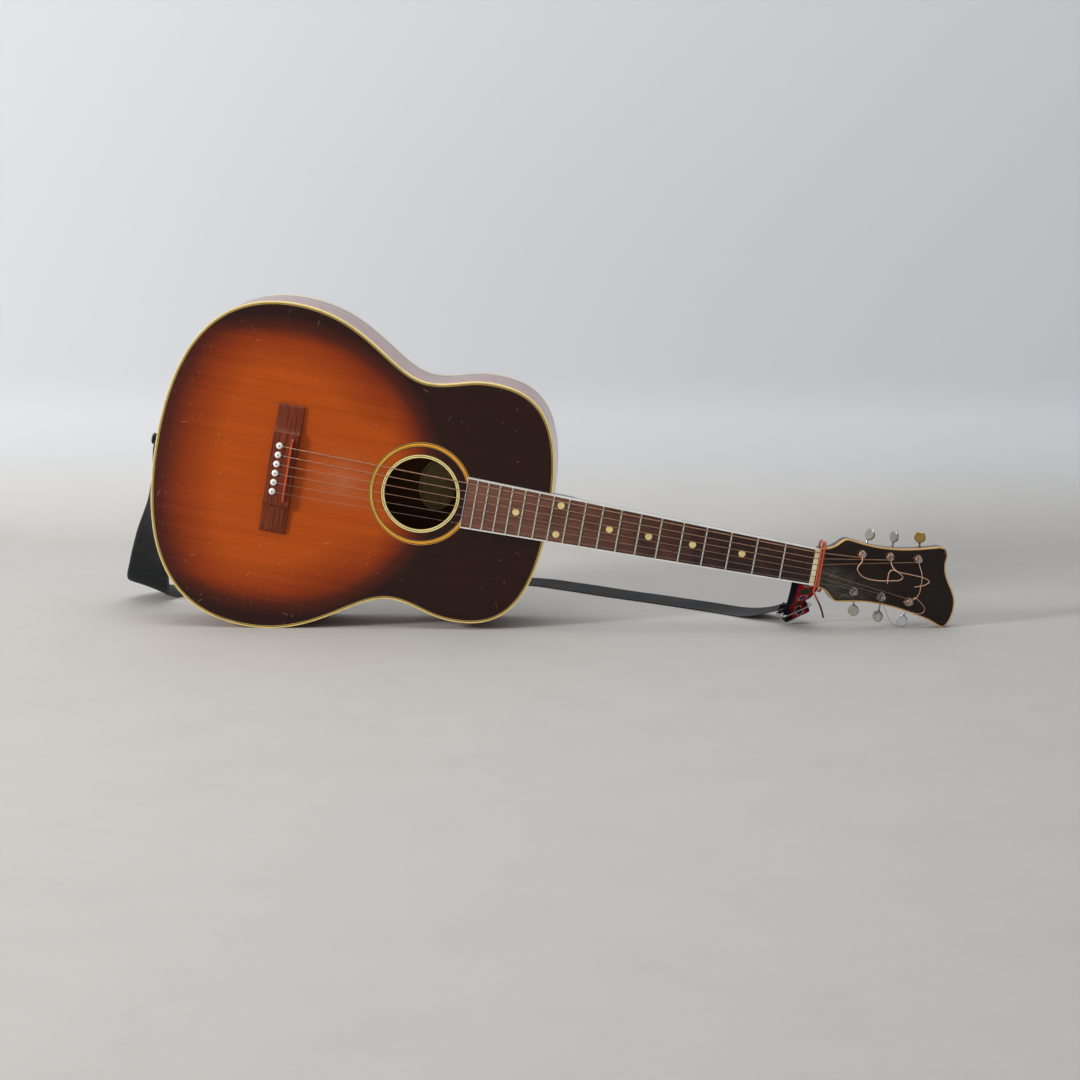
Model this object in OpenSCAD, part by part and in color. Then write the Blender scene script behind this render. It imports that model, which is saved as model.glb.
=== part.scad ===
// Steel-string guitar with twelve frets clear of the body, lying on its side with a strap behind it.
// Guitar frame: x runs from the nut towards the head, y towards the bass side, z out of the top.
// Lengths are millimetres and angles are degrees.

/* [Scale and neck] */
// Length of the strings from nut to saddle
scale_length = 630; // [590:5:660]
// Number of frets
fret_count = 18; // [17:1:19]
// Fret that lines up with the edge of the body
joint_fret = 12; // [12:1:14]
// Width of the fretboard at the nut
board_nut_w = 44.5; // [42:0.5:50]
// Width of the fretboard at its end over the top
board_end_w = 61.5; // [56:0.5:64]
// Thickness of the fretboard
board_t = 6; // [5:0.5:8]
// Thickness of the nut along the strings
nut_t = 5.5; // [4:0.5:7]
// Depth of the neck behind the fretboard at the nut
neck_nut_d = 19; // [16:0.5:24]
// Depth of the neck behind the fretboard near the heel
neck_heel_d = 22; // [18:0.5:28]

/* [Body] */
// Length of the body
body_l = 478; // [440:2:500]
// Width across the upper bout
upper_bout_w = 291; // [260:1:310]
// Width across the waist
waist_w = 265; // [230:1:280]
// Width across the lower bout
lower_bout_w = 394; // [370:1:410]
// Distance of the widest point of the upper bout from the neck end
upper_bout_at = 93; // [80:1:105]
// Distance of the waist from the neck end
waist_at = 168; // [155:1:185]
// Distance of the widest point of the lower bout from the neck end
lower_bout_at = 338; // [320:1:350]
// Depth of the body from top to back
body_d = 98; // [80:1:120]
// Thickness of the top
top_t = 3; // [2.5:0.1:4]
// Thickness of the back
back_t = 3; // [2.5:0.1:4]
// Thickness of the sides and of the bindings
side_t = 2.4; // [2:0.1:3.5]
// Height of the bindings
binding_h = 6; // [4:0.5:8]

/* [Sound hole and bridge] */
// Distance of the sound hole's centre behind the end of the fretboard
hole_gap = 53.2; // [51:0.2:56]
// Diameter of the sound hole
hole_d = 86.6; // [78:0.2:92]
// Width of the ring round the sound hole
hole_ring_w = 4.2; // [3:0.1:5]
// Inner diameter of the rosette
rosette_in_d = 112; // [108:1:118]
// Outer diameter of the rosette
rosette_out_d = 125; // [120:1:130]
// Length of the bridge across the top
bridge_l = 155; // [130:1:170]
// Width of the bridge along the strings
bridge_w = 31.5; // [28:0.5:36]
// Height of the bridge's middle block
bridge_h = 8.5; // [7:0.5:10]
// Length of the bridge's middle block
bridge_mid_l = 87; // [82:1:100]
// Height of the bridge's flat wings
wing_h = 4; // [3:0.5:5]
// Length of the saddle
saddle_l = 77; // [66:1:80]
// Thickness of the saddle
saddle_t = 2.8; // [2.4:0.1:3.4]
// Distance of the bridge pins behind the saddle
pin_back = 14.4; // [12:0.2:16]
// Distance between neighbouring bridge pins
pin_pitch = 11.1; // [10:0.1:11.6]
// Diameter of a bridge pin's shank
pin_d = 5; // [4.6:0.1:5.4]

/* [Head] */
// Angle of the head behind the neck
head_tilt = 15; // [8:1:17]
// Thickness of the head
head_t = 14; // [13:0.5:18]
// Distance between neighbouring tuning machines
tuner_pitch = 35.6; // [33:0.1:37]
// Distance of the first bass tuner from the nut
bass_tuner_at = 51.6; // [50:0.2:54]
// Distance of the first treble tuner from the nut
treble_tuner_at = 50.8; // [48:0.2:54]
// Distance of the first tuners from the middle of the head
tuner_v = 23; // [22:0.5:25]
// Angle of each row of tuners to the middle of the head
tuner_splay = 2.8; // [0:0.1:4]
// Diameter of a tuner post
post_d = 6; // [5.4:0.1:6.4]
// Height of a tuner post over the face of the head
post_h = 10; // [9:0.5:12]
// Diameter of a tuner button
button_d = 13.8; // [12:0.2:15]
// Distance of a button's middle from its post
button_reach = 24; // [23:0.5:27]

/* [Strap] */
// Width of the strap
strap_w = 50; // [40:1:56]
// Thickness of the strap
strap_t = 2; // [1.6:0.1:2.6]
// Diameter of the cord that ties the strap to the neck
tie_d = 2.4; // [2:0.1:3]

/* [Hidden] */
$fn = 48;

// Clearances
clear = 0.3;         // free air between parts that must not touch
run = 0.05;          // radial clearance of a shaft in its bore
graze = 0.05;        // air under a string on the nut or the saddle

// Fret places and fretboard
function fret_x(n) = -scale_length * (1 - pow(2, -n / 12));
board_end_x = fret_x(fret_count + 1);
hole_x = board_end_x - hole_gap;
function board_w(x) = board_nut_w + (board_end_w - board_nut_w) * x / board_end_x;
board_binding_t = 1.6;
fret_r = 1.1;
tang_t = 0.6;
tang_h = 1.8;
dot_d = 8.2;
dot_t = 1.5;
dot_frets = [3, 5, 7, 9, 15];
double_dot_fret = 12;
double_dot_y = 17.6;

// Curves
curve_steps = 14;
function bezier(a, b, c, d, n = curve_steps) =
    [for (i = [0 : n - 1]) let(t = i / n, s = 1 - t)
        s * s * s * a + 3 * s * s * t * b + 3 * s * t * t * c + t * t * t * d];
function unit(v) = v / norm(v);
// Moves each corner of a closed outline inwards by d; the outline runs anticlockwise.
function inset(pts, d) = let(n = len(pts))
    [for (i = [0 : n - 1])
        let(a = unit(pts[i] - pts[(i + n - 1) % n]), b = unit(pts[(i + 1) % n] - pts[i]), m = unit(a + b))
            pts[i] + [-m.y, m.x] * d / (m * b)];
function mirrored(pts) = [for (i = [len(pts) - 1 : -1 : 0]) [pts[i].x, -pts[i].y]];

// Body outline: four curves from the neck end round the bass side to the tail, then mirrored
body_x = fret_x(joint_fret) - 2;
tail_x = body_x - body_l;
bass_half = concat(
    bezier([body_x, 0], [body_x, 122], [body_x - upper_bout_at + 52, upper_bout_w / 2],
        [body_x - upper_bout_at, upper_bout_w / 2]),
    bezier([body_x - upper_bout_at, upper_bout_w / 2], [body_x - upper_bout_at - 32, upper_bout_w / 2],
        [body_x - waist_at + 28, waist_w / 2], [body_x - waist_at, waist_w / 2]),
    bezier([body_x - waist_at, waist_w / 2], [body_x - waist_at - 46, waist_w / 2],
        [body_x - lower_bout_at + 88, lower_bout_w / 2], [body_x - lower_bout_at, lower_bout_w / 2]),
    bezier([body_x - lower_bout_at, lower_bout_w / 2], [body_x - lower_bout_at - 82, lower_bout_w / 2],
        [tail_x, 144], [tail_x, 0])
);
body_line = concat(bass_half, [[tail_x, 0]],
    [for (p = mirrored(bass_half)) if (p.y < 0) p]);

// Levels through the body
lining_w = 6;
lining_h = 12;
block_l = 60;
neck_block_w = 80;
tail_block_w = 70;
tail_block_t = 20;
tenon_w = 20;
tenon_l = 16;
tenon_h = 60;
purfling_w = 2;
inlay_t = 1;
lining_edge = side_t + lining_w;
inside_top = -top_t;
inside_back = -body_d + back_t;
inside_body_x = body_x - side_t;

// Bridge places
saddle_comp = 2.5;
saddle_x = -scale_length - saddle_comp;
saddle_front = 7.5;
bridge_x = saddle_x + saddle_front;
pin_x = saddle_x - pin_back;
saddle_slot_d = 4;
saddle_up = 4.2;
saddle_end_r = 3;
saddle_z = bridge_h + saddle_up;
plate_t = 2.5;
pin_head_d = 8;
pin_head_h = 3;
pin_rim = 0.8;
pin_down = 12;
function string_y(k) = (2.5 - k) * pin_pitch;

// Strings, from the lowest: diameters, spacing at the nut
string_d = [1.35, 1.1, 0.85, 0.65, 0.45, 0.35];
nut_pitch = 7.3;
nut_h = board_t + 1.6;
notch_w = 1.6;
notch_l = 1.5;
ball_r = 1.9;
ball_z = inside_top - plate_t - ball_r - 0.2;
string_x = pin_x + pin_d / 2 + notch_l / 2;
ball_x = pin_x + pin_d / 2 + ball_r + run;
function nut_y(k) = (2.5 - k) * nut_pitch;

// Head frame: u along the head from the nut, v towards the bass side, h out of the face
face_z = 2;
veneer_t = 1.2;
head_binding_t = 1.6;
head_binding_h = 3;
veneer_start = 0.6;
head_start = veneer_start - head_binding_t;
head_side = concat(
    bezier([head_start, 22.8], [12, 24], [17, 27], [22, 32], 6),
    bezier([22, 32], [27, 37], [29, 38.6], [34, 38.4], 6),
    bezier([34, 38.4], [46, 37], [58, 34.4], [75, 34.2], 6),
    bezier([75, 34.2], [104, 34], [124, 39], [148, 44.6], 8)
);
// The end of the head: a long horn on the treble side, a hollow, and a short worn corner
head_end = concat(
    bezier([148, -44.6], [158, -47], [163, -51], [171, -52.6], 6),
    bezier([171, -52.6], [180, -50], [185, -26], [178, -12], 9),
    bezier([178, -12], [173, -1], [160, 10], [159.5, 26], 8),
    bezier([159.5, 26], [160, 32], [163, 44], [148, 44.6], 6)
);
// Runs from the bass side at the nut: the list is reversed to run anticlockwise.
head_line = concat([for (p = head_side) [p.x, -p.y]], head_end,
    [[148, 44.6]], [for (i = [len(head_side) - 1 : -1 : 0]) head_side[i]]);
chip_u = 160;
chip_v = 41;
chip_r = 5;

// Tuners
row_count = 3;
plate_thick = 1.2;
plate_w = 15;
plate_before = 13;
plate_after = 17;
screw_before = 10;
screw_after = 14;
worm_r = 2;
shaft_r = 1.2;
gear_teeth = 14;
gear_r = 5.9;
gear_root_r = 4.9;
gear_t = 4.4;
worm_u = gear_r + worm_r + 0.1;
worm_h = -head_t - plate_thick - 0.4 - gear_t / 2;
worm_l = 9;
tab_t = 1.4;
tab_v = worm_l / 2 + 0.2;
tab_r = 2.4;
button_t = 3.4;
button_angle = [30, 22, 58, -57, -35, -50];
button_shift = [0, -2.5, -1.5, 2.5, 3.5, 3.5];
// Angle of each machine to the middle of the head: they were never put on square
tuner_turn = [12, 0, -8, -8, 0, 8];
bushing_h = 1.2;
bushing_r = 5.2;
sleeve_r = 4.2;
sleeve_l = 6;
head_bore_r = sleeve_r + run;
coil_low = 3.6;
coil_turns = [3, 3, 3, 3, 4, 4];
screw_r = 1.3;
screw_l = 9;
screw_head_r = 2.4;
screw_head_h = 1;
function reach(k) = button_reach + button_shift[k];
function row_side(k) = k < 3 ? 1 : -1;
function row_step(k) = k < 3 ? k : 5 - k;
function row_at(k) = k < 3 ? bass_tuner_at : treble_tuner_at;
function post_place(k) = [row_at(k) + row_step(k) * tuner_pitch * cos(tuner_splay),
    row_side(k) * (tuner_v + row_step(k) * tuner_pitch * sin(tuner_splay))];
hole_r = 0.9;
tail_side = [-1, -1, -1, 1, -1, -1];
function coil_r(k) = post_d / 2 + 2 * run + string_d[k];
function coil_h(k) = coil_low + coil_turns[k] * string_d[k];
function hole_h(k) = coil_h(k) + hole_r + 0.3;
// A point on the line of a post's cross hole, in the head's frame
function hole_point(k, y, h) = let(a = -row_side(k) * tuner_turn[k], p = post_place(k))
    [p.x - y * sin(a), p.y + y * cos(a), h];

// Resting pose: the lower bout and the long horn of the head both touch the floor
function head_xz(u, h) = [nut_t + u * cos(head_tilt) + h * sin(head_tilt),
    face_z - u * sin(head_tilt) + h * cos(head_tilt)];
function lowest(pts, a) = min([for (p = pts) -p.x * sin(a) + p.y * cos(a)]);
head_flat = [for (p = head_line) [head_xz(p.x, 0).x, p.y]];
function settle(lo, hi, n) = let(m = (lo + hi) / 2)
    n == 0 ? m : lowest(body_line, m) < lowest(head_flat, m) ? settle(m, hi, n - 1) : settle(lo, m, n - 1);
rest_slope = settle(0, 30, 30);
rest_z = -lowest(body_line, rest_slope);
// The origin lies under the middle of the whole thing.
origin_x = 340;
origin_y = -178;

module stand() {
    translate([origin_x, origin_y, rest_z])
        rotate([0, rest_slope, 0])
            rotate([90, 0, 0])
                children();
}
module on_floor() {
    translate([origin_x, origin_y, 0])
        children();
}
module on_head() {
    translate([nut_t, 0, face_z])
        rotate([0, head_tilt, 0])
            children();
}
// A tuner's own frame: the post stands at its origin, and its worm shaft points away from the head's middle.
module at_tuner(k) {
    place = post_place(k);
    on_head()
        translate([place.x, place.y, 0])
            rotate([0, 0, -row_side(k) * tuner_turn[k]])
                children();
}

// Sweeps a closed section along points that follow one another; rings is a list of equal lists of points.
module skin(rings) {
    m = len(rings[0]);
    n = len(rings);
    sides = [for (i = [0 : n - 2], j = [0 : m - 1])
        let(a = i * m + j, b = i * m + (j + 1) % m, c = (i + 1) * m + (j + 1) % m, d = (i + 1) * m + j)
            each [[a, b, c], [a, c, d]]];
    first = [for (j = [m - 1 : -1 : 0]) j];
    last = [for (j = [0 : m - 1]) (n - 1) * m + j];
    polyhedron(points = [for (r = rings) each r], faces = concat([first], sides, [last]));
}
function along(pts, i) = unit(pts[min(i + 1, len(pts) - 1)] - pts[max(i - 1, 0)]);
// The ring's first direction follows from the one before it, so the tube doesn't twist.
function frames(pts, i = 0, side = undef) = i == len(pts) ? [] :
    let(t = along(pts, i),
        s0 = side == undef ? (abs(t.z) < 0.9 ? cross(t, [0, 0, 1]) : cross(t, [1, 0, 0])) : side,
        s = unit(s0 - t * (s0 * t)))
            concat([[s, cross(t, s)]], frames(pts, i + 1, s));
module tube(pts, r, sides = 8) {
    f = frames(pts);
    skin([for (i = [0 : len(pts) - 1]) [for (j = [0 : sides - 1]) let(a = -360 * j / sides)
        pts[i] + r * (cos(a) * f[i][0] + sin(a) * f[i][1])]]);
}
// Rounds the corners of a route with a Catmull-Rom curve through every point.
function smooth(pts, n) = let(m = len(pts))
    concat([for (i = [0 : m - 2], j = [0 : n - 1])
        let(p0 = pts[max(i - 1, 0)], p1 = pts[i], p2 = pts[i + 1], p3 = pts[min(i + 2, m - 1)], t = j / n)
            0.5 * (2 * p1 + (p2 - p0) * t + (2 * p0 - 5 * p1 + 4 * p2 - p3) * t * t
                + (3 * p1 - p0 - 3 * p2 + p3) * t * t * t)], [pts[m - 1]]);

// Body ----------------------------------------------------------------------------------------
module body_plate(d, z, t) {
    translate([0, 0, z])
        linear_extrude(t)
            polygon(inset(body_line, d));
}
module body_ring(outer, inner, z, t) {
    difference() {
        body_plate(outer, z, t);
        body_plate(inner, z - 1, t + 2);
    }
}
module half_space(side) {
    translate([tail_x - 10, side > 0 ? 0 : -lower_bout_w, -body_d - 10])
        cube([body_l + 20, lower_bout_w, body_d + 20]);
}
module side(side) {
    difference() {
        intersection() {
            body_ring(0, side_t, -body_d + binding_h, body_d - 2 * binding_h);
            half_space(side);
        }
        tenon(0);
        end_pin_hole();
    }
}
module tenon(gap) {
    translate([body_x - side_t - tenon_l - gap, -tenon_w / 2 - gap, -binding_h - tenon_h - gap])
        cube([side_t + tenon_l + gap + 1, tenon_w + 2 * gap, tenon_h + 2 * gap]);
}
module end_pin_hole() {
    translate([tail_x - 1, 0, -body_d / 2])
        rotate([0, 90, 0])
            cylinder(r = end_pin_r, h = tail_block_t + side_t + 2);
}
module pin_holes(low, high) {
    for (k = [0 : 5])
        translate([pin_x, string_y(k), low]) {
            cylinder(d = pin_d, h = high - low);
            translate([0, -notch_w / 2, 0])
                cube([pin_d / 2 + notch_l, notch_w, high - low]);
        }
}
module ring(in_d, out_d, low, high) {
    translate([hole_x, 0, low])
        difference() {
            cylinder(d = out_d, h = high - low, $fn = 96);
            translate([0, 0, -1])
                cylinder(d = in_d, h = high - low + 2, $fn = 96);
        }
}
end_pin_r = 3.5;
module soundboard() color([0.62, 0.27, 0.1]) stand()
    difference() {
        body_plate(side_t, -top_t, top_t);
        translate([hole_x, 0, -top_t - 1])
            cylinder(d = hole_d + 2 * hole_ring_w, h = top_t + 2, $fn = 96);
        ring(rosette_in_d, rosette_out_d, -inlay_t, 1);
        body_ring(side_t - 0.5, side_t + purfling_w, -inlay_t, inlay_t + 1);
        pin_holes(-top_t - 1, 1);
    }
module back() color([0.42, 0.2, 0.1]) stand()
    body_plate(side_t, -body_d, back_t);
module side_bass() color([0.4, 0.17, 0.1]) stand() side(1);
module side_treble() color([0.4, 0.17, 0.1]) stand() side(-1);
module linings() color([0.75, 0.6, 0.4]) stand()
    difference() {
        union() {
            body_ring(side_t, lining_edge, inside_top - lining_h, lining_h);
            body_ring(side_t, lining_edge, inside_back, lining_h);
        }
        neck_block_space();
        tail_block_space();
        brace_ends(top_brace_x, inside_top - lining_h - 1, lining_h + 1, top_brace_w);
        brace_ends(back_brace_x, inside_back, lining_h + 1, back_brace_w);
    }
module neck_block_space() {
    translate([inside_body_x - block_l, -neck_block_w / 2, -body_d])
        cube([block_l + 5, neck_block_w, body_d]);
}
module tail_block_space() {
    translate([tail_x - 5, -tail_block_w / 2, -body_d])
        cube([side_t + tail_block_t + 5, tail_block_w, body_d]);
}
module neck_block() color([0.72, 0.58, 0.4]) stand()
    difference() {
        intersection() {
            body_plate(side_t, inside_back, body_d - top_t - back_t);
            neck_block_space();
        }
        tenon(0);
    }
module tail_block() color([0.72, 0.58, 0.4]) stand()
    difference() {
        intersection() {
            body_plate(side_t, inside_back, body_d - top_t - back_t);
            tail_block_space();
        }
        end_pin_hole();
    }

// Bars across the inside, each running from side to side
top_brace_w = 8;
top_brace_h = 14;
back_brace_w = 10;
back_brace_h = 12;
brace_gap = 5;       // from the rosette's inner edge to the middle of the bar in front of it
top_brace_x = [hole_x + rosette_in_d / 2 + brace_gap, hole_x - rosette_out_d / 2 - 12.5, bridge_x - 85];
back_brace_x = [body_x - 100, body_x - 215, body_x - 330, body_x - 420];
function crosses(pts, x) = [for (i = [0 : len(pts) - 1])
    let(a = pts[i], b = pts[(i + 1) % len(pts)])
        if ((a.x - x) * (b.x - x) <= 0 && a.x != b.x) a.y + (b.y - a.y) * (x - a.x) / (b.x - a.x)];
module brace_ends(xs, z, h, w) {
    for (x = xs)
        translate([x - w / 2, -lower_bout_w / 2, z])
            cube([w, lower_bout_w, h]);
}
module bars(xs, z, h, w) {
    intersection() {
        union()
            for (x = xs)
                translate([x - w / 2, -lower_bout_w / 2, z])
                    cube([w, lower_bout_w, h]);
        body_plate(side_t, -body_d, body_d);
    }
}
module top_braces() color([0.8, 0.66, 0.45]) stand()
    bars(top_brace_x, inside_top - top_brace_h, top_brace_h, top_brace_w);
module back_braces() color([0.8, 0.66, 0.45]) stand()
    bars(back_brace_x, inside_back, back_brace_h, back_brace_w);
module bridge_plate() color([0.7, 0.5, 0.33]) stand()
    difference() {
        translate([bridge_x - bridge_w - 4, -bridge_l / 2, inside_top - plate_t])
            cube([bridge_w + 8, bridge_l, plate_t]);
        pin_holes(inside_top - plate_t - 1, inside_top + 1);
    }
module top_binding() color([0.9, 0.84, 0.55]) stand()
    body_ring(0, side_t, -binding_h, binding_h);
module back_binding() color([0.9, 0.84, 0.55]) stand()
    body_ring(0, side_t, -body_d, binding_h);
module purfling() color([0.1, 0.08, 0.07]) stand()
    body_ring(side_t, side_t + purfling_w, -inlay_t, inlay_t);
module rosette() color([0.92, 0.65, 0.2]) stand()
    ring(rosette_in_d, rosette_out_d, -inlay_t, 0);
module sound_hole_ring() color([0.88, 0.82, 0.55]) stand()
    ring(hole_d, hole_d + 2 * hole_ring_w, -top_t, 0);

// A bare oval of old paper on the inside of the back
label_l = 64;
label_w = 46;
label_t = 0.3;
label_x = body_x - 143;
module label() color([0.45, 0.4, 0.28]) stand()
    translate([label_x, 0, inside_back])
        linear_extrude(label_t)
            polygon([for (i = [0 : 35]) [label_w / 2 * cos(10 * i), label_l / 2 * sin(10 * i)]]);

// Bridge --------------------------------------------------------------------------------------
scoop_l = 9;
function scoop(side) = [for (i = [0 : 6]) let(a = 15 * i)
    [side * (bridge_mid_l / 2 + scoop_l * (1 - cos(a))), wing_h + (bridge_h - wing_h) * (1 - sin(a))]];
module bridge() color([0.32, 0.14, 0.09]) stand()
    difference() {
        translate([bridge_x - bridge_w, 0, 0])
            rotate([90, 0, 90])
                linear_extrude(bridge_w)
                    polygon(concat([[-bridge_l / 2, 0], [bridge_l / 2, 0], [bridge_l / 2, wing_h - 1]],
                        [for (i = [6 : -1 : 0]) scoop(1)[i]], scoop(-1), [[-bridge_l / 2, wing_h - 1]]));
        translate([saddle_x - saddle_t / 2, -saddle_l / 2, bridge_h - saddle_slot_d])
            cube([saddle_t, saddle_l, saddle_slot_d + 1]);
        pin_holes(-1, bridge_h + 1);
    }
module saddle() color([0.78, 0.3, 0.16]) stand()
    difference() {
        translate([saddle_x, saddle_l / 2, 0])
            rotate([90, 0, 0])
                linear_extrude(saddle_l) {
                    translate([-saddle_t / 2, bridge_h - saddle_slot_d])
                        square([saddle_t, saddle_slot_d + saddle_up - saddle_t / 2]);
                    translate([0, saddle_z - saddle_t / 2])
                        circle(d = saddle_t);
                }
        for (side = [-1, 1])
            translate([saddle_x - saddle_t, side * saddle_l / 2, saddle_z])
                rotate([0, 90, 0])
                    cylinder(r = saddle_end_r, h = 2 * saddle_t);
    }
module bridge_pins() color([0.93, 0.92, 0.88]) stand()
    for (k = [0 : 5])
        translate([pin_x, string_y(k), 0])
            difference() {
                rotate_extrude($fn = 32)
                    polygon(concat([[0, -pin_down], [pin_d / 2 - 0.6, -pin_down], [pin_d / 2 - run, 0],
                        [pin_d / 2 - run, bridge_h + clear]],
                        [for (a = [0 : 15 : 90])
                            [pin_head_d / 2 * cos(a), bridge_h + clear + pin_rim + (pin_head_h - pin_rim) * sin(a)]]));
                // The string leaves through a slit in the head.
                translate([pin_d / 2, -notch_w / 2, bridge_h])
                    cube([pin_head_d, notch_w, 2 * pin_head_h]);
            }
module end_pin() color([0.08, 0.07, 0.07]) stand()
    translate([tail_x, 0, -body_d / 2])
        rotate([0, -90, 0])
            rotate_extrude($fn = 48)
                polygon([[0, -tail_block_t], [end_pin_r - 0.8, -tail_block_t], [end_pin_r - run, -side_t],
                    [end_pin_r - run, 0], [5.5, 0], [4, 3], [3.8, 7.5], [6.5, 9], [7, 11], [5, 12.5], [0, 13]]);

// Neck ----------------------------------------------------------------------------------------
heel_l = 48;
heel_foot_l = 24;
heel_foot_w = 30;
heel_cap_t = 3;
heel_z = -body_d + binding_h + heel_cap_t;
shaft_end_x = body_x + heel_l;
module neck_section(x, w, d) {
    translate([x, 0, 0])
        rotate([90, 0, 90])
            linear_extrude(0.2)
                polygon(concat([[-w / 2, 0]],
                    [for (a = [180 : 15 : 360]) [w / 2 * cos(a), -3 + (d - 3) * sin(a)]], [[w / 2, 0]]));
}
module neck() color([0.13, 0.09, 0.07]) stand() {
    difference() {
        union() {
            hull() {
                neck_section(-0.2, board_nut_w, neck_nut_d);
                neck_section(shaft_end_x, board_w(shaft_end_x), neck_heel_d);
            }
            hull() {
                neck_section(shaft_end_x, board_w(shaft_end_x), neck_heel_d);
                translate([body_x, -board_w(body_x) / 2, -binding_h])
                    cube([0.2, board_w(body_x), binding_h]);
                translate([body_x, -heel_foot_w / 2, heel_z])
                    cube([heel_foot_l, heel_foot_w, 0.2]);
            }
            // The ledge under the nut, and the root of the head
            hull() {
                neck_section(-0.2, board_nut_w, neck_nut_d);
                translate([nut_t - 0.2, -board_nut_w / 2, -8])
                    cube([0.2, board_nut_w, 8]);
                on_head()
                    translate([14, -22.4, -head_t])
                        cube([0.2, 44.8, head_t - head_binding_h]);
            }
            tenon_solid();
            on_head() {
                translate([0, 0, -head_t])
                    linear_extrude(head_t - head_binding_h)
                        polygon(head_line);
                translate([0, 0, -head_binding_h])
                    linear_extrude(head_binding_h - veneer_t)
                        polygon(inset(head_line, head_binding_t));
            }
        }
        for (k = [0 : 5])
            at_tuner(k)
                translate([0, 0, -head_t - 1])
                    cylinder(r = head_bore_r, h = head_t + 2);
        plate_screw_places()
            translate([0, 0, -head_t - 1])
                cylinder(r = screw_r, h = screw_l + 1);
        head_binding_space();
        translate([board_end_x, -upper_bout_w / 2, 0])
            cube([nut_t - board_end_x, upper_bout_w, body_d]);
    }
}
module tenon_solid() {
    translate([body_x - side_t - tenon_l, -tenon_w / 2, -binding_h - tenon_h])
        cube([side_t + tenon_l, tenon_w, tenon_h]);
}
module heel_cap() color([0.9, 0.84, 0.55]) stand()
    translate([body_x, -heel_foot_w / 2, heel_z - heel_cap_t])
        cube([heel_foot_l, heel_foot_w, heel_cap_t]);
module head_veneer() color([0.15, 0.12, 0.1]) stand() on_head()
    difference() {
        translate([0, 0, -veneer_t])
            linear_extrude(veneer_t)
                polygon(inset(head_line, head_binding_t));
        for (k = [0 : 5])
            translate([post_place(k).x, post_place(k).y, -veneer_t - 1])
                cylinder(r = head_bore_r, h = veneer_t + 2);
        corner_chip();
    }
module head_binding_space() {
    on_head()
        difference() {
            translate([0, 0, -head_binding_h])
                linear_extrude(head_binding_h)
                    polygon(head_line);
            translate([0, 0, -head_binding_h - 1])
                linear_extrude(head_binding_h + 2)
                    polygon(inset(head_line, head_binding_t));
            translate([head_start - 1, -board_nut_w, -head_binding_h - 1])
                cube([veneer_start - head_start + 1, 2 * board_nut_w, head_binding_h + 2]);
        }
}
module head_binding() color([0.88, 0.7, 0.43]) stand()
    difference() {
        head_binding_space();
        on_head()
            corner_chip();
    }
// The broken corner, where the binding and the black face are gone
module corner_chip() {
    translate([chip_u, chip_v, -head_binding_h - 1])
        cylinder(r = chip_r, h = head_binding_h + 2);
}

// Fretboard -----------------------------------------------------------------------------------
module board_shape(edge, low, high) {
    translate([0, 0, low])
        linear_extrude(high - low)
            polygon([[0, board_nut_w / 2 - edge], [board_end_x + edge, board_w(board_end_x) / 2 - edge],
                [board_end_x + edge, -board_w(board_end_x) / 2 + edge], [0, -board_nut_w / 2 + edge]]);
}
module fret_slots() {
    for (n = [1 : fret_count])
        translate([fret_x(n) - tang_t / 2, -board_end_w / 2, board_t - tang_h])
            cube([tang_t, board_end_w, tang_h + 1]);
}
module dot_places() {
    for (n = dot_frets)
        translate([(fret_x(n) + fret_x(n - 1)) / 2, 0, 0])
            children();
    for (side = [-1, 1])
        translate([(fret_x(double_dot_fret) + fret_x(double_dot_fret - 1)) / 2, side * double_dot_y, 0])
            children();
}
module fretboard() color([0.28, 0.16, 0.15]) stand()
    difference() {
        board_shape(board_binding_t, 0, board_t);
        fret_slots();
        dot_places()
            translate([0, 0, board_t - dot_t])
                cylinder(d = dot_d, h = dot_t + 1);
    }
module fretboard_binding() color([0.88, 0.88, 0.86]) stand()
    difference() {
        board_shape(0, 0, board_t);
        translate([1, 0, 0])
            board_shape(board_binding_t, -1, board_t + 1);
        translate([-1, 0, 0])
            board_shape(board_binding_t, -1, board_t + 1);
        board_shape(board_binding_t, -1, board_t + 1);
    }
module frets() color([0.66, 0.68, 0.62]) stand()
    for (n = [1 : fret_count])
        translate([fret_x(n), 0, board_t]) {
            w = board_w(fret_x(n)) - 2 * board_binding_t;
            translate([0, w / 2, 0])
                rotate([90, 0, 0])
                    linear_extrude(w)
                        intersection() {
                            circle(r = fret_r, $fn = 32);
                            translate([-fret_r, 0])
                                square([2 * fret_r, fret_r]);
                        }
            translate([-tang_t / 2, -w / 2, -tang_h])
                cube([tang_t, w, tang_h]);
        }
module fret_dots() color([0.86, 0.8, 0.6]) stand()
    dot_places()
        translate([0, 0, board_t - dot_t])
            cylinder(d = dot_d, h = dot_t);
module nut() color([0.85, 0.8, 0.66]) stand()
    difference() {
        translate([0, -board_nut_w / 2, 0])
            cube([nut_t, board_nut_w, nut_h + 1]);
        for (k = [0 : 5])
            translate([-1, nut_y(k) - string_d[k] / 2 - 0.1, nut_h])
                cube([nut_t + 2, string_d[k] + 0.2, 2]);
    }

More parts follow.
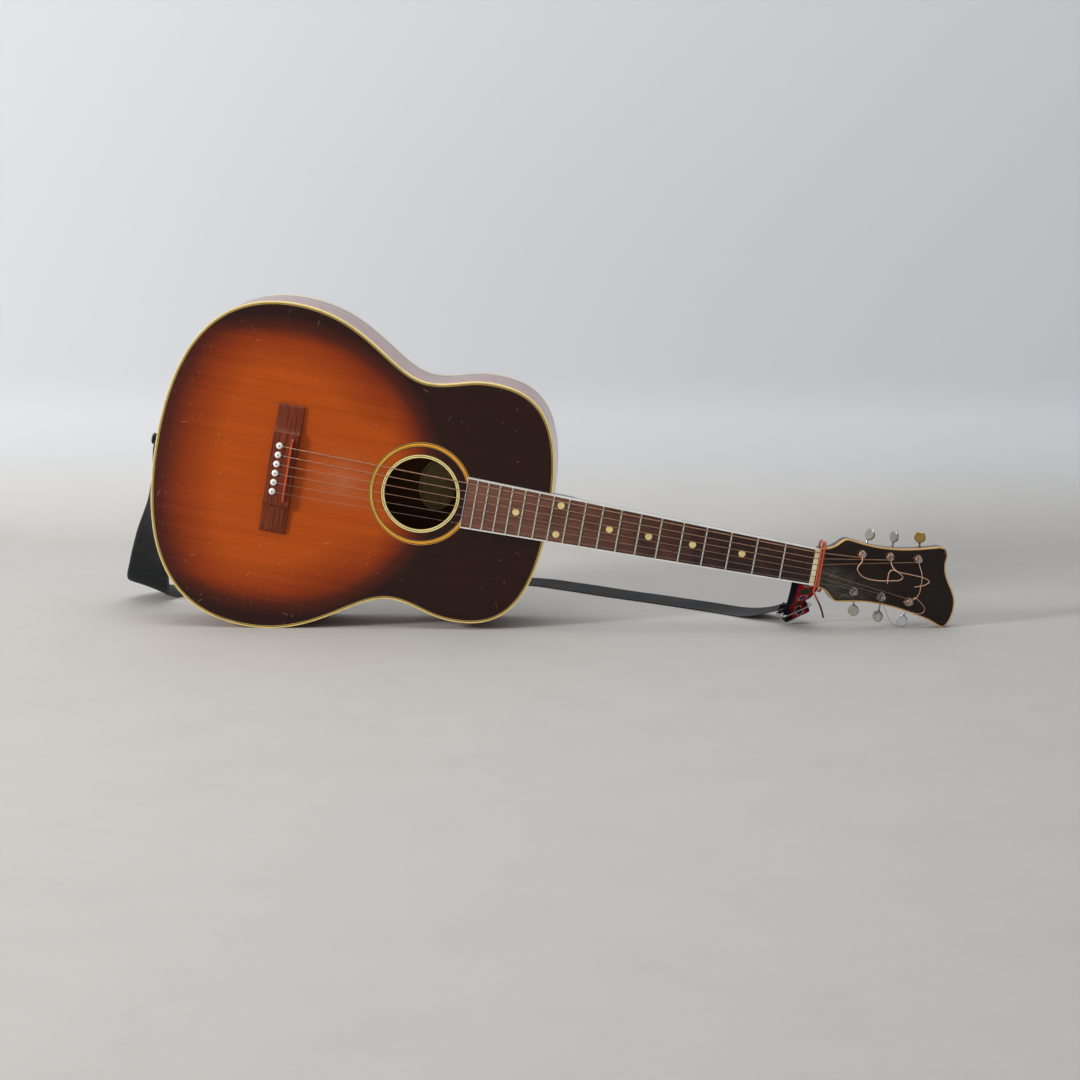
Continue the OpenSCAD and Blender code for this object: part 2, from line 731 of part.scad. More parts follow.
// Tuning machines -----------------------------------------------------------------------------
module plate_screw_places() {
    for (k = [0 : 5], u = [-screw_before, screw_after])
        at_tuner(k)
            translate([u, 0, 0])
                children();
}
module tuner_plates() color([0.6, 0.58, 0.52]) stand()
    for (k = [0 : 5])
        at_tuner(k)
            difference() {
                union() {
                    translate([-plate_before, -plate_w / 2, -head_t - plate_thick])
                        cube([plate_before + plate_after, plate_w, plate_thick]);
                    for (e = [-1, 1])
                        translate([worm_u - tab_r, e * (tab_v + tab_t / 2) - tab_t / 2, worm_h - tab_r])
                            cube([2 * tab_r, tab_t, -head_t - plate_thick / 2 - worm_h + tab_r]);
                }
                translate([0, 0, -head_t - plate_thick - 1])
                    cylinder(r = post_d / 2 + run, h = plate_thick + 2);
                translate([worm_u, -plate_w, worm_h])
                    rotate([-90, 0, 0])
                        cylinder(r = shaft_r + run, h = 2 * plate_w);
                for (u = [-screw_before, screw_after])
                    translate([u, 0, -head_t - plate_thick - 1])
                        cylinder(r = screw_r + run, h = plate_thick + 2);
            }
module plate_screws() color([0.62, 0.6, 0.55]) stand()
    plate_screw_places() {
        translate([0, 0, -head_t - plate_thick - screw_head_h])
            cylinder(r = screw_head_r, h = screw_head_h);
        translate([0, 0, -head_t - plate_thick])
            cylinder(r = screw_r, h = screw_l + plate_thick - 1);
    }
module post_bushings() color([0.66, 0.64, 0.58]) stand()
    for (k = [0 : 5])
        at_tuner(k)
            difference() {
                union() {
                    cylinder(r = bushing_r, h = bushing_h);
                    translate([0, 0, -sleeve_l])
                        cylinder(r = sleeve_r, h = sleeve_l);
                }
                translate([0, 0, -sleeve_l - 1])
                    cylinder(r = post_d / 2 + run, h = sleeve_l + bushing_h + 2);
            }
module tuner_knob(k) {
    s = row_side(k);
    at_tuner(k)
        translate([worm_u, 0, worm_h])
            rotate([-90 * s, 0, 0]) {
                translate([0, 0, -tab_v - tab_t - 1.5])
                    cylinder(r = shaft_r, h = reach(k) + tab_v + tab_t + 1.5 - button_d / 2 + 1);
                translate([0, 0, -worm_l / 2])
                    cylinder(r = worm_r, h = worm_l);
                translate([0, 0, tab_v + tab_t + clear])
                    cylinder(r = 1.9, h = 1.6);
                translate([0, 0, reach(k)])
                    rotate([0, 0, button_angle[k]])
                        rotate([90, 0, 90])
                            translate([0, 0, -button_t / 2])
                                rotate_extrude($fn = 48)
                                    polygon([[0, 0], [button_d / 2 - 0.7, 0], [button_d / 2, 0.7],
                                        [button_d / 2, button_t - 0.7], [button_d / 2 - 0.7, button_t], [0, button_t]]);
                translate([0, 0, reach(k) - button_d / 2 - 1])
                    cylinder(r1 = shaft_r, r2 = 2, h = 2);
            }
}
module tuner_post(k) {
    gear_low = worm_h - gear_t / 2;
    at_tuner(k) {
        difference() {
            translate([0, 0, gear_low])
                cylinder(r = post_d / 2, h = post_h - gear_low);
            translate([0, -post_d, hole_h(k)])
                rotate([-90, 0, 0])
                    cylinder(r = hole_r, h = 2 * post_d);
        }
        translate([0, 0, gear_low])
            linear_extrude(gear_t)
                polygon([for (i = [0 : gear_teeth - 1], j = [0 : 3])
                    let(a = 360 / gear_teeth * (i + [-0.34, -0.14, 0.14, 0.34][j]), r = j == 1 || j == 2 ? gear_r : gear_root_r)
                        r * [cos(a), sin(a)]]);
        translate([0, 0, gear_low - 1.2])
            cylinder(r = 2.6, h = 1.2);
    }
}
module tuner_knob_1() color([0.68, 0.68, 0.68]) stand() tuner_knob(0);
module tuner_knob_2() color([0.68, 0.68, 0.68]) stand() tuner_knob(1);
module tuner_knob_3() color([0.6, 0.48, 0.25]) stand() tuner_knob(2);
module tuner_knob_4() color([0.8, 0.82, 0.82]) stand() tuner_knob(3);
module tuner_knob_5() color([0.55, 0.53, 0.5]) stand() tuner_knob(4);
module tuner_knob_6() color([0.55, 0.53, 0.5]) stand() tuner_knob(5);
module tuner_post_1() color([0.7, 0.68, 0.64]) stand() tuner_post(0);
module tuner_post_2() color([0.7, 0.68, 0.64]) stand() tuner_post(1);
module tuner_post_3() color([0.7, 0.68, 0.64]) stand() tuner_post(2);
module tuner_post_4() color([0.7, 0.68, 0.64]) stand() tuner_post(3);
module tuner_post_5() color([0.7, 0.68, 0.64]) stand() tuner_post(4);
module tuner_post_6() color([0.7, 0.68, 0.64]) stand() tuner_post(5);

// Strings -------------------------------------------------------------------------------------
// Each runs from its ball under the top, over the saddle and the nut, to the inner side of its post.
function from_head(p) = let(q = head_xz(p.x, p.z)) [q.x, p.y, q.y];
function post_end(k) = let(r = string_d[k] / 2, side = row_side(k), place = post_place(k),
        start = [0, nut_y(k)],
        off = post_d / 2 + r,
        back = sqrt(pow(coil_r(k) + clear + 0.2, 2) - pow(post_d / 2, 2)) + 0.2,
        d = place - start,
        lean = asin(off / norm(d)),
        dir = [d.x * cos(-side * lean) - d.y * sin(-side * lean), d.x * sin(-side * lean) + d.y * cos(-side * lean)] / norm(d),
        reach = norm(d) * cos(lean) - back)
    [start.x + dir.x * reach, start.y + dir.y * reach, coil_low + r];
module string(k) {
    r = string_d[k] / 2;
    y = string_y(k);
    tube([
        [string_x, y, ball_z + 1],
        [string_x, y, bridge_h + 0.2],
        [string_x + 0.6, y, bridge_h + 1.4],
        [saddle_x, y, saddle_z + r + graze],
        [1, nut_y(k), nut_h + r + graze],
        [nut_t - 0.5, nut_y(k), nut_h + r + graze],
        from_head(post_end(k))
    ], r);
    translate([ball_x, y, ball_z])
        sphere(r = ball_r, $fn = 24);
}
module string_1() color([0.62, 0.45, 0.33]) stand() string(0);
module string_2() color([0.62, 0.45, 0.33]) stand() string(1);
module string_3() color([0.62, 0.45, 0.33]) stand() string(2);
module string_4() color([0.62, 0.45, 0.33]) stand() string(3);
module string_5() color([0.6, 0.58, 0.55]) stand() string(4);
module string_6() color([0.6, 0.58, 0.55]) stand() string(5);

// The loose ends above the posts, in the head's frame
end_route = [
    [[51, 16.5, 10], [48.5, 12, 11.5], [46, 7, 12.5], [49, 2, 12.5], [55, -2, 12.5], [64, -4, 12.5], [77, -4, 12.5],
        [92, -2, 12.5], [101, 0, 13], [104, 4, 13.5], [101, 7, 14], [95, 10, 13.5], [90, 11, 13],
        [87, 9, 12.6], [86, 4, 12.2], [87, -6, 11.8]],
    [[87.5, 18.5, 10], [89, 14.5, 13.5], [93, 11.5, 17], [100, 10, 18], [108, 9.5, 18], [116, 9, 18], [126, 8, 18],
        [134, 6, 18], [136, 3, 18], [131, -1, 18], [125, -3, 18], [119, -5, 18]],
    [[123.5, 20.5, 9], [125, 16, 11.5], [127, 11, 13.5], [128, 4, 15], [128, -4, 15], [128, -11, 15],
        [126, -17, 15], [122, -21, 15], [116, -24, 15], [110, -25, 15]],
    [[123.4, -22.3, 8.5], [123.6, -20, 10.5], [126, -19, 12], [131, -22, 13], [136, -26, 13],
        [140, -31, 12], [138, -36, 11], [132, -38, 10], [126, -37, 9]],
    [[87.4, -32, 8.5], [91, -37, 9.5], [96, -45, 9], [102, -52, 8], [109, -56, 7], [114, -58, 6]],
    [[47, -28.5, 8], [42, -27.5, 9.5], [37, -27, 10], [34, -28.5, 10], [32, -32, 9.5]]
];
// Up from the coil, through the post's hole and away
function end_line(k) = let(r = string_d[k] / 2, s = tail_side[k], off = post_d / 2 + 2 * run + r)
    concat([hole_point(k, -s * off, coil_h(k) - r), hole_point(k, -s * off, hole_h(k) - 0.2),
        hole_point(k, -s * (post_d / 2 - 0.6), hole_h(k))],
        smooth(concat([hole_point(k, s * (post_d / 2 + 0.8), hole_h(k))], end_route[k]), 3));
module string_end(k) {
    at_tuner(k)
        translate([0, 0, coil_low])
            difference() {
                cylinder(r = coil_r(k), h = coil_turns[k] * string_d[k]);
                translate([0, 0, -1])
                    cylinder(r = post_d / 2 + 2 * run, h = coil_turns[k] * string_d[k] + 2);
            }
    on_head()
        tube(end_line(k), string_d[k] / 2);
}
module string_end_1() color([0.78, 0.5, 0.38]) stand() string_end(0);
module string_end_2() color([0.78, 0.5, 0.38]) stand() string_end(1);
module string_end_3() color([0.78, 0.5, 0.38]) stand() string_end(2);
module string_end_4() color([0.78, 0.5, 0.38]) stand() string_end(3);
module string_end_5() color([0.6, 0.58, 0.55]) stand() string_end(4);
module string_end_6() color([0.6, 0.58, 0.55]) stand() string_end(5);

// Strap ---------------------------------------------------------------------------------------
// The slider is a wire frame with three bars. Its own directions: along the bars, from bar to bar, and up.
slider_at = [-13.5, 50, 18];
slider_yaw = 26;
slider_lean = 19;
slider_l = 38;
slider_pitch = 11;
wire_r = 1.4;
woven_w = 33;
woven_t = 1.6;
slider_along = [cos(slider_lean) * cos(slider_yaw), cos(slider_lean) * sin(slider_yaw), sin(slider_lean)];
slider_back = [-sin(slider_yaw), cos(slider_yaw), 0];
slider_up = cross(slider_along, slider_back);
function at_slider(back, up) = slider_at + back * slider_back + up * slider_up;
// A band's middle line lies this far from the middle of a bar that it goes round.
function wrap_r(t) = wire_r + clear + t / 2;
function wrap(bar, t, a) = at_slider(bar + wrap_r(t) * sin(a), wrap_r(t) * cos(a));
// Where the end pin leaves the body, in the floor's frame
pin_at = [tail_x * cos(rest_slope), body_d / 2, rest_z - tail_x * sin(rest_slope)];
// Each row: a point on the strap's middle line, the direction across the strap, and its width there.
// Z is the height over the floor.
strap_route = [
    [pin_at + [-4.1, 0, 9.5], [0, 1, 0], strap_w - 22],
    [pin_at + [-5.6, 0.3, 0], [0, 1, 0], strap_w - 16],
    [pin_at + [-7.3, 1, -9], [0, 1, 0], strap_w - 8],
    [pin_at + [-14.3, 13, -50], [-0.2, 1, 0], strap_w],
    [pin_at + [-22.3, 45, -93], [-0.4, 0.9, 0], strap_w],
    [[pin_at.x - 30, pin_at.y + 76, 86], [-0.9, 0.5, 0.05], strap_w],
    [[pin_at.x - 40, pin_at.y + 106, 46], [-1, 0.2, 0.15], strap_w + 3],
    [[pin_at.x - 44.3, pin_at.y + 126, 20], [-1, 0.1, 0.3], strap_w + 6],
    [[pin_at.x - 34, pin_at.y + 152, 10], [-0.75, 0.6, 0.25], strap_w + 4],
    [[pin_at.x - 9, pin_at.y + 188, 4], [-0.3, 1, 0.05], strap_w],
    [[-740, 284, 2], [-0.3, 1, 0], strap_w],
    [[-650, 316, 1.2], [-0.2, 1, 0], strap_w],
    [[-550, 338, 1.2], [0, 1, 0], strap_w],
    [[-450, 346, 1.2], [0.2, 1, 0], strap_w],
    [[-350, 327, 1.2], [0.45, 1, 0], strap_w],
    [[-300, 296, 1.2], [0.6, 1, 0], strap_w],
    [[-245, 253, 1.2], [0.65, 1, 0], strap_w],
    [[-186, 210, 1.2], [0.65, 1, 0], strap_w],
    [[-128, 166, 1.2], [0.65, 1, 0], strap_w],
    [[-90, 134, 1.6], [0.7, 1, 0], strap_w],
    [[-62, 104, 6], [0.8, 0.85, 0.15], 44],
    [[-41, 84, 14], [0.85, 0.6, 0.28], 37],
    [wrap(2 * slider_pitch, strap_t, 0), slider_along, woven_w],
    [wrap(2 * slider_pitch, strap_t, -45), slider_along, woven_w],
    [wrap(2 * slider_pitch, strap_t, -90), slider_along, woven_w],
    [wrap(2 * slider_pitch, strap_t, -135), slider_along, woven_w],
    [wrap(2 * slider_pitch, strap_t, -180), slider_along, woven_w]
];
woven_y = neck_nut_d + 1.7;
woven_route = [
    [[1, woven_y, 94], [1, 0, -0.17], woven_w],
    [[0.5, woven_y, 82], [1, 0, -0.17], woven_w],
    [[-1.8, woven_y + 0.5, 70], [1, 0, -0.17], woven_w],
    [[-6, 24, 57], [1, 0.05, -0.08], woven_w],
    [[-9.2, 31.5, 44], [0.97, 0.2, 0.08], woven_w],
    [[-13, 44, 32], [0.93, 0.35, 0.22], woven_w],
    [at_slider(5.5, 6), slider_along, woven_w],
    [at_slider(5.2, 0), slider_along, woven_w],
    [at_slider(4.6, -5), slider_along, woven_w],
    [at_slider(6, -9), slider_along, woven_w],
    [at_slider(9.5, -9.8), slider_along, woven_w],
    [at_slider(12.5, -7.5), slider_along, woven_w],
    [at_slider(slider_pitch + 3.4, -4.6), slider_along, woven_w]
];
module band(route, t, n) {
    mid = smooth([for (r = route) r[0]], n);
    across = smooth([for (r = route) unit(r[1]) * r[2]], n);
    skin([for (i = [0 : len(mid) - 1])
        let(d = along(mid, i), a = across[i] - d * (across[i] * d), b = unit(cross(d, a)) * t)
            [mid[i] + (a + b) / 2, mid[i] + (b - a) / 2, mid[i] - (a + b) / 2, mid[i] + (a - b) / 2]]);
}
module strap() color([0.12, 0.12, 0.13])
    difference() {
        on_floor()
            band(strap_route, strap_t, 2);
        stand()
            translate([tail_x, 0, -body_d / 2])
                rotate([0, -90, 0])
                    cylinder(r = 4.3, h = 20);
    }
module woven_strap() color([0.5, 0.1, 0.1]) on_floor()
    band(woven_route, woven_t, 2);
module strap_slider() color([0.6, 0.58, 0.55]) on_floor()
    translate(slider_at)
        rotate([0, -slider_lean, slider_yaw]) {
            for (i = [0 : 2])
                translate([-slider_l / 2, i * slider_pitch, 0])
                    rotate([0, 90, 0])
                        cylinder(r = wire_r, h = slider_l);
            for (e = [-1, 1]) {
                translate([e * slider_l / 2, 0, 0])
                    rotate([-90, 0, 0])
                        cylinder(r = wire_r, h = 2 * slider_pitch);
                for (i = [0, 2])
                    translate([e * slider_l / 2, i * slider_pitch, 0])
                        sphere(r = wire_r);
            }
        }

// The cord: a hanging end, then two turns round the neck and the woven strap, in the guitar's frame
tie_route = [
    [24.5, -58, 6], [21, -50, 6.5], [17, -43, 7], [11, -35, 7.5], [7.6, -29.5, 8.5], [7.3, -24, 10],
    [7.7, -16, 10.7], [7.2, 4, 10.8], [6.8, 20, 10.7], [6.8, 27, 9], [6.5, 31, 5], [6, 32, -2], [5.5, 30, -12],
    [5.5, 23, -21], [7, 10, -24.6], [9, -4, -25.2], [12, -14, -26], [15.5, -21.5, -26.5], [17, -28.5, -21],
    [16, -29.5, -11], [14, -29, -2], [12, -27.5, 5], [11, -22, 10], [10.6, -8, 10.5], [10.2, 8, 10.5],
    [10.2, 20, 10.3], [10.4, 27, 8], [10.5, 30, 2], [10.5, 29, -9], [11, 23.5, -19], [12, 12, -24.6],
    [13.5, 2, -24.8]
];
module tie_cord() color([0.8, 0.3, 0.15]) stand()
    tube(smooth(tie_route, 2), tie_d / 2);

soundboard();
back();
side_bass();
side_treble();
linings();
neck_block();
tail_block();
top_braces();
back_braces();
bridge_plate();
top_binding();
back_binding();
purfling();
rosette();
sound_hole_ring();
label();
bridge();
saddle();
bridge_pins();
end_pin();
neck();
heel_cap();
head_veneer();
head_binding();
fretboard();
fretboard_binding();
frets();
fret_dots();
nut();
tuner_plates();
plate_screws();
post_bushings();
tuner_knob_1();
tuner_knob_2();
tuner_knob_3();
tuner_knob_4();
tuner_knob_5();
tuner_knob_6();
tuner_post_1();
tuner_post_2();
tuner_post_3();
tuner_post_4();
tuner_post_5();
tuner_post_6();
string_1();
string_2();
string_3();
string_4();
string_5();
string_6();
string_end_1();
string_end_2();
string_end_3();
string_end_4();
string_end_5();
string_end_6();
strap();
strap_slider();
woven_strap();
tie_cord();
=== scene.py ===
"""Looks of a twelve-fret steel-string guitar that lies on its side with a strap behind it.

Guitar frame: x runs from the nut towards the head, y towards the bass side, z out of the top.
Head frame: u runs along the head from the nut, v towards the bass side, h out of its face.
Shapes are worked out in millimetres in those frames, and placed in the packed frame in metres.
"""
import math
import random

import bmesh
import bpy
import numpy as np
from bpy.props import FloatProperty, FloatVectorProperty, PointerProperty
from mathutils import Color, Matrix, Vector


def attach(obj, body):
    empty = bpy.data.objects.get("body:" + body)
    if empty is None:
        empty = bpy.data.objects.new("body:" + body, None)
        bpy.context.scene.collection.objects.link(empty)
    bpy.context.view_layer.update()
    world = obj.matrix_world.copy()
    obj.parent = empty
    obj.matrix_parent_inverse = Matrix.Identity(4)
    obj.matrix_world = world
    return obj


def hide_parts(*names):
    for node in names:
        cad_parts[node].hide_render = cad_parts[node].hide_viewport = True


bl_info = {
    "name": "Old sunburst guitar",
    "version": (1, 0, 0),
    "blender": (4, 5, 0),
    "location": "3D View > Sidebar > Guitar",
    "description": "Builds the finished pieces and materials of a worn sunburst guitar on its packed frame",
    "category": "Object",
}

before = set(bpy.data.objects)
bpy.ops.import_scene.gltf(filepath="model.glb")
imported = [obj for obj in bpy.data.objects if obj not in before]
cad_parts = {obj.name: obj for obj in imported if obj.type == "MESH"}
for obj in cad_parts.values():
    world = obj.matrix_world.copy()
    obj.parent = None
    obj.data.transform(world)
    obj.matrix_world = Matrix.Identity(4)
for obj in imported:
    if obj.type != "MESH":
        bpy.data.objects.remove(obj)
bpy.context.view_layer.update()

MM = 0.001
REST_SLOPE = math.radians(10.0955)
REST_Z = 81.7027
ORIGIN_X = 340
ORIGIN_Y = -178
HEAD_TILT = math.radians(15)
NUT_T = 5.5
FACE_Z = 2
GUITAR = (Matrix.Translation((ORIGIN_X * MM, ORIGIN_Y * MM, REST_Z * MM))
          @ Matrix.Rotation(REST_SLOPE, 4, "Y") @ Matrix.Rotation(math.pi / 2, 4, "X"))
HEAD = (GUITAR @ Matrix.Translation((NUT_T * MM, 0, FACE_Z * MM))
        @ Matrix.Rotation(HEAD_TILT, 4, "Y"))
FLOOR_MARK = Matrix.Translation((ORIGIN_X * MM, ORIGIN_Y * MM, 0))

BODY_X = -317
TAIL_X = -795
BODY_D = 98
SIDE_T = 2.4
BINDING_H = 6
PURFLING_W = 2
TOP_T = 3
BACK_T = 3
HOLE_X = -472.963
HOLE_R = 43.3
HOLE_RING_W = 4.2
ROSETTE_IN_R = 56
ROSETTE_OUT_R = 62.5
BRIDGE_X = -625
BRIDGE_W = 31.5
BRIDGE_L = 155
BRIDGE_H = 8.5
BRIDGE_MID_L = 87
WING_H = 4
SCOOP_L = 9
SADDLE_X = -632.5
SADDLE_Z = 12.7
PIN_X = -646.9
PIN_PITCH = 11.1
BALL_R = 1.9
BOARD_END_X = -419.763
BOARD_NUT_W = 44.5
BOARD_END_W = 61.5
HEAD_T = 14
VENEER_T = 1.2
HEAD_BINDING_T = 1.6
HEAD_BINDING_H = 3
CHIP = (160, 41, 5)
STRING_D = [1.35, 1.1, 0.85, 0.65, 0.45, 0.35]
NUT_PITCH = 7.3
NUT_H = 7.6
POST_R = 3
COIL_LOW = 3.6
COIL_TURNS = [3, 3, 3, 3, 4, 4]
COIL_AIR = 0.1
POSTS = [(51.6, 23), (87.1575, 24.7391), (122.715, 26.4781),
         (121.915, -26.4781), (86.3575, -24.7391), (50.8, -23)]
TUNER_TURN = [12, 0, -8, -8, 0, 8]
TAIL_SIDE = [-1, -1, -1, 1, -1, -1]

LENS = 93.33
CAMERA_AT = (0.1781, -3.4632, 0.6493)
CAMERA_YAW = math.radians(-2.81)
CAMERA_PITCH = math.radians(9.31)


def srgb(red, green, blue):
    """A colour of 0 to 255 a channel as Blender's linear numbers."""
    return tuple(c / 12.92 if c <= 0.04045 else ((c + 0.055) / 1.055) ** 2.4 for c in (red / 255,
        green / 255, blue / 255))


def tint(name, description, red, green, blue):
    return FloatVectorProperty(name=name, description=description, subtype="COLOR", size=3, min=0, max=1,
                               default=srgb(red, green, blue))


# Sizes and colours ----------------------------------------------------------------------------
class TopLook(bpy.types.PropertyGroup):
    """The sunburst on the top."""
    heart: tint("Heart", "Amber in the middle of the sunburst", 172, 73, 14)
    ember: tint("Ember", "Orange brown round the amber", 131, 49, 14)
    rust: tint("Rust", "Red brown where the sunburst darkens", 78, 31, 19)
    rim: tint("Rim", "Dark edge of the sunburst", 40, 22, 18)
    fade: FloatProperty(name="Fade", description="Width of the dark edge's fade", default=0.098, min=0.05,
                        max=0.15, unit="LENGTH")
    heart_reach: FloatProperty(name="Heart reach", description="Radius at which the amber has gone dark",
                               default=0.209, min=0.15, max=0.25, unit="LENGTH")
    haze: FloatProperty(name="Haze", description="How much rosin-like dust lies between bridge and hole",
                        default=0.3, min=0, max=1, subtype="FACTOR")


class WoodLook(bpy.types.PropertyGroup):
    """The other woods."""
    side: tint("Sides", "Stained sides and back", 132, 44, 24)
    side_dark: tint("Sides, dark", "Stain along the edges of the sides and back", 46, 17, 12)
    neck: tint("Neck", "Dark stained neck", 38, 20, 14)
    board: tint("Fretboard", "Fretboard wood", 50, 27, 23)
    board_worn: tint("Fretboard, worn", "Pale haze of the fretboard near the sound hole", 138, 90, 70)
    bridge: tint("Bridge", "Bridge wood", 138, 62, 36)
    # The inside colour is partly aged bare wood and partly painted shade, darkened for the dim inside of the
    # body.
    inner: tint("Inside", "Dusty dark wood inside the body", 104, 68, 44)


class TrimLook(bpy.types.PropertyGroup):
    """Bindings, plastics and bone."""
    binding: tint("Binding", "Aged cream of the body binding", 240, 222, 150)
    purfling: tint("Purfling", "Dark lines of the purfling", 34, 24, 20)
    rosette: tint("Rosette", "Amber of the rosette", 234, 162, 46)
    board_edge: tint("Board binding", "White binding of the fretboard", 226, 225, 220)
    head_edge: tint("Head binding", "Orange cream edge of the head", 220, 174, 108)
    head_face: tint("Head face", "Black face of the head", 32, 22, 16)
    saddle: tint("Saddle", "Red saddle", 190, 74, 30)
    bone: tint("Bone", "Nut", 222, 212, 178)
    pin: tint("Pins", "White bridge pins", 240, 240, 236)
    dot: tint("Dots", "Fret markers", 232, 212, 146)


class MetalLook(bpy.types.PropertyGroup):
    """Metals."""
    nickel: tint("Nickel", "Dull nickel of the machines", 178, 172, 164)
    bright: tint("Bright nickel", "The cleaner buttons", 222, 224, 226)
    brass: tint("Brass", "The button whose plating has gone", 176, 142, 84)
    tarnish: tint("Tarnish", "What has grown on the metals", 86, 74, 56)
    fret: tint("Frets", "Fret wire", 214, 216, 204)
    copper: tint("Wound strings", "Copper windings", 232, 184, 158)
    dull_copper: tint("Wound strings, played", "Windings gone brown over the board", 172, 134, 108)
    steel: tint("Plain strings", "Plain steel", 160, 146, 132)


class StrapLook(bpy.types.PropertyGroup):
    """The strap and what ties it."""
    width: FloatProperty(name="Width", description="Width of the strap", default=0.05, min=0.03, max=0.06,
                         unit="LENGTH")
    webbing: tint("Webbing", "Black webbing", 33, 35, 38)
    woven: tint("Woven band", "Ground of the woven band", 168, 22, 28)
    cord: tint("Cord", "Orange cord", 198, 84, 50)
    cord_end: tint("Cord end", "Dark end of the cord", 66, 20, 20)


class StageLook(bpy.types.PropertyGroup):
    """Floor, wall and lamps."""
    floor: tint("Floor", "Floor", 192, 189, 184)
    wall: tint("Wall", "Wall behind", 213, 216, 221)
    # Falloff sets painted shade: the backdrop's colour darkens towards the right, where the light falls off.
    falloff: FloatProperty(name="Falloff", description="How much darker the backdrop is on the right",
                           default=0.2, min=0, max=0.6, subtype="FACTOR")
    key: FloatProperty(name="Key lamp", description="Power of the lamp on the left", default=175, min=0,
                       max=400, unit="POWER")
    fill: FloatProperty(name="Surroundings", description="Strength of the even light all round",
                        default=0.36, min=0, max=2)


# Node helpers ---------------------------------------------------------------------------------
def put(tree, kind, inputs=None, **settings):
    """Adds a node; an input that is a socket is joined, any other is set."""
    node = tree.nodes.new(kind)
    for key, value in settings.items():
        setattr(node, key, value)
    for key, value in (inputs or {}).items():
        if isinstance(value, bpy.types.NodeSocket):
            tree.links.new(value, node.inputs[key])
        else:
            node.inputs[key].default_value = value
    return node


def calc(tree, operation, *values, clamp=False):
    return put(tree, "ShaderNodeMath", dict(enumerate(values)), operation=operation,
               use_clamp=clamp).outputs[0]


def blend(tree, amount, first, second, mode="MIX"):
    node = put(tree, "ShaderNodeMix", None, data_type="RGBA", blend_type=mode)
    for index, value in ((0, amount), (6, first), (7, second)):
        if isinstance(value, bpy.types.NodeSocket):
            tree.links.new(value, node.inputs[index])
        elif index == 0:
            node.inputs[index].default_value = value
        else:
            node.inputs[index].default_value = (*value, 1)
    return node.outputs[2]


def ramp(tree, value, stops, how="LINEAR"):
    """A colour ramp; each stop is a place and a colour or a grey."""
    node = put(tree, "ShaderNodeValToRGB", {0: value})
    node.color_ramp.interpolation = how
    marks = node.color_ramp.elements
    while len(marks) < len(stops):
        marks.new(0.5)
    for mark, (place, colour) in zip(marks, stops):
        mark.position = place
    for mark, (place, colour) in zip(marks, stops):
        mark.color = (colour, colour, colour, 1) if isinstance(colour, (int, float)) else (*colour, 1)
    return node.outputs[0]


def noise(tree, vector, scale, detail=4, rough=0.55):
    return put(tree, "ShaderNodeTexNoise", {"Vector": vector, "Scale": scale, "Detail": detail,
                                            "Roughness": rough}).outputs[0]


def times(tree, a, b, clamp=False):
    return calc(tree, "MULTIPLY", a, b, clamp=clamp)


def plus(tree, a, b, clamp=False):
    return calc(tree, "ADD", a, b, clamp=clamp)


def minus(tree, a, b, clamp=False):
    return calc(tree, "SUBTRACT", a, b, clamp=clamp)


def parts(tree, vector):
    return put(tree, "ShaderNodeSeparateXYZ", {0: vector}).outputs


def grey_of(tree, level):
    return put(tree, "ShaderNodeCombineColor", {0: level, 1: level, 2: level}).outputs[0]


def mapped(tree, value, start, end, low=0.0, high=1.0):
    """The value's way from start to end, as a number from low to high."""
    return put(tree, "ShaderNodeMapRange", {0: value, 1: start, 2: end, 3: low, 4: high}).outputs[0]


def worn_to(tree, base, mask, share, colour):
    """The base turned this far to another colour where the mask says so."""
    return blend(tree, times(tree, mask, share), base, colour)


def stretch(tree, vector, x, y, z):
    return put(tree, "ShaderNodeVectorMath", {0: vector, 1: (x, y, z)}, operation="MULTIPLY").outputs[0]


def new_group(name, sockets_in, sockets_out):
    """An empty shader node group with these sockets, and its two ends."""
    group = bpy.data.node_groups.new(name, "ShaderNodeTree")
    for label, kind, default in sockets_in:
        socket = group.interface.new_socket(label, in_out="INPUT", socket_type=kind)
        if default is not None:
            socket.default_value = default
    for label, kind in sockets_out:
        group.interface.new_socket(label, in_out="OUTPUT", socket_type=kind)
    return group, group.nodes.new("NodeGroupInput").outputs, group.nodes.new("NodeGroupOutput").inputs


FLOAT, COLOUR, VECTOR = "NodeSocketFloat", "NodeSocketColor", "NodeSocketVector"


def grain_group():
    """Wood grain that runs along the vector's x."""
    group, give, take = new_group("Wood grain", [("Vector", VECTOR, None),
                                                 ("Wood", COLOUR, (0.5, 0.3, 0.2, 1)), ("Along", FLOAT, 6),
                                                 ("Across", FLOAT, 300), ("Depth", FLOAT, 0.25)],
                                  [("Color", COLOUR), ("Height", FLOAT)])
    scale = put(group, "ShaderNodeCombineXYZ", {0: give["Along"], 1: give["Across"], 2: give["Across"]})
    spread = put(group, "ShaderNodeVectorMath", {0: give["Vector"], 1: scale.outputs[0]},
                 operation="MULTIPLY").outputs[0]
    lines = noise(group, spread, 1.0, 5.0, 0.6)
    broad = noise(group, spread, 0.12, 3.0, 0.5)
    shade = ramp(group, lines, [(0.3, 0.0), (0.5, 0.6), (0.72, 1.0)])
    both = plus(group, times(group, shade, 0.6), times(group, broad, 0.4))
    dark = times(group, minus(group, 1.0, both), give["Depth"])
    level = minus(group, 1.15, times(group, dark, 2.0))
    grey = grey_of(group, level)
    group.links.new(blend(group, 1.0, give["Wood"], grey, "MULTIPLY"), take["Color"])
    group.links.new(lines, take["Height"])
    return group


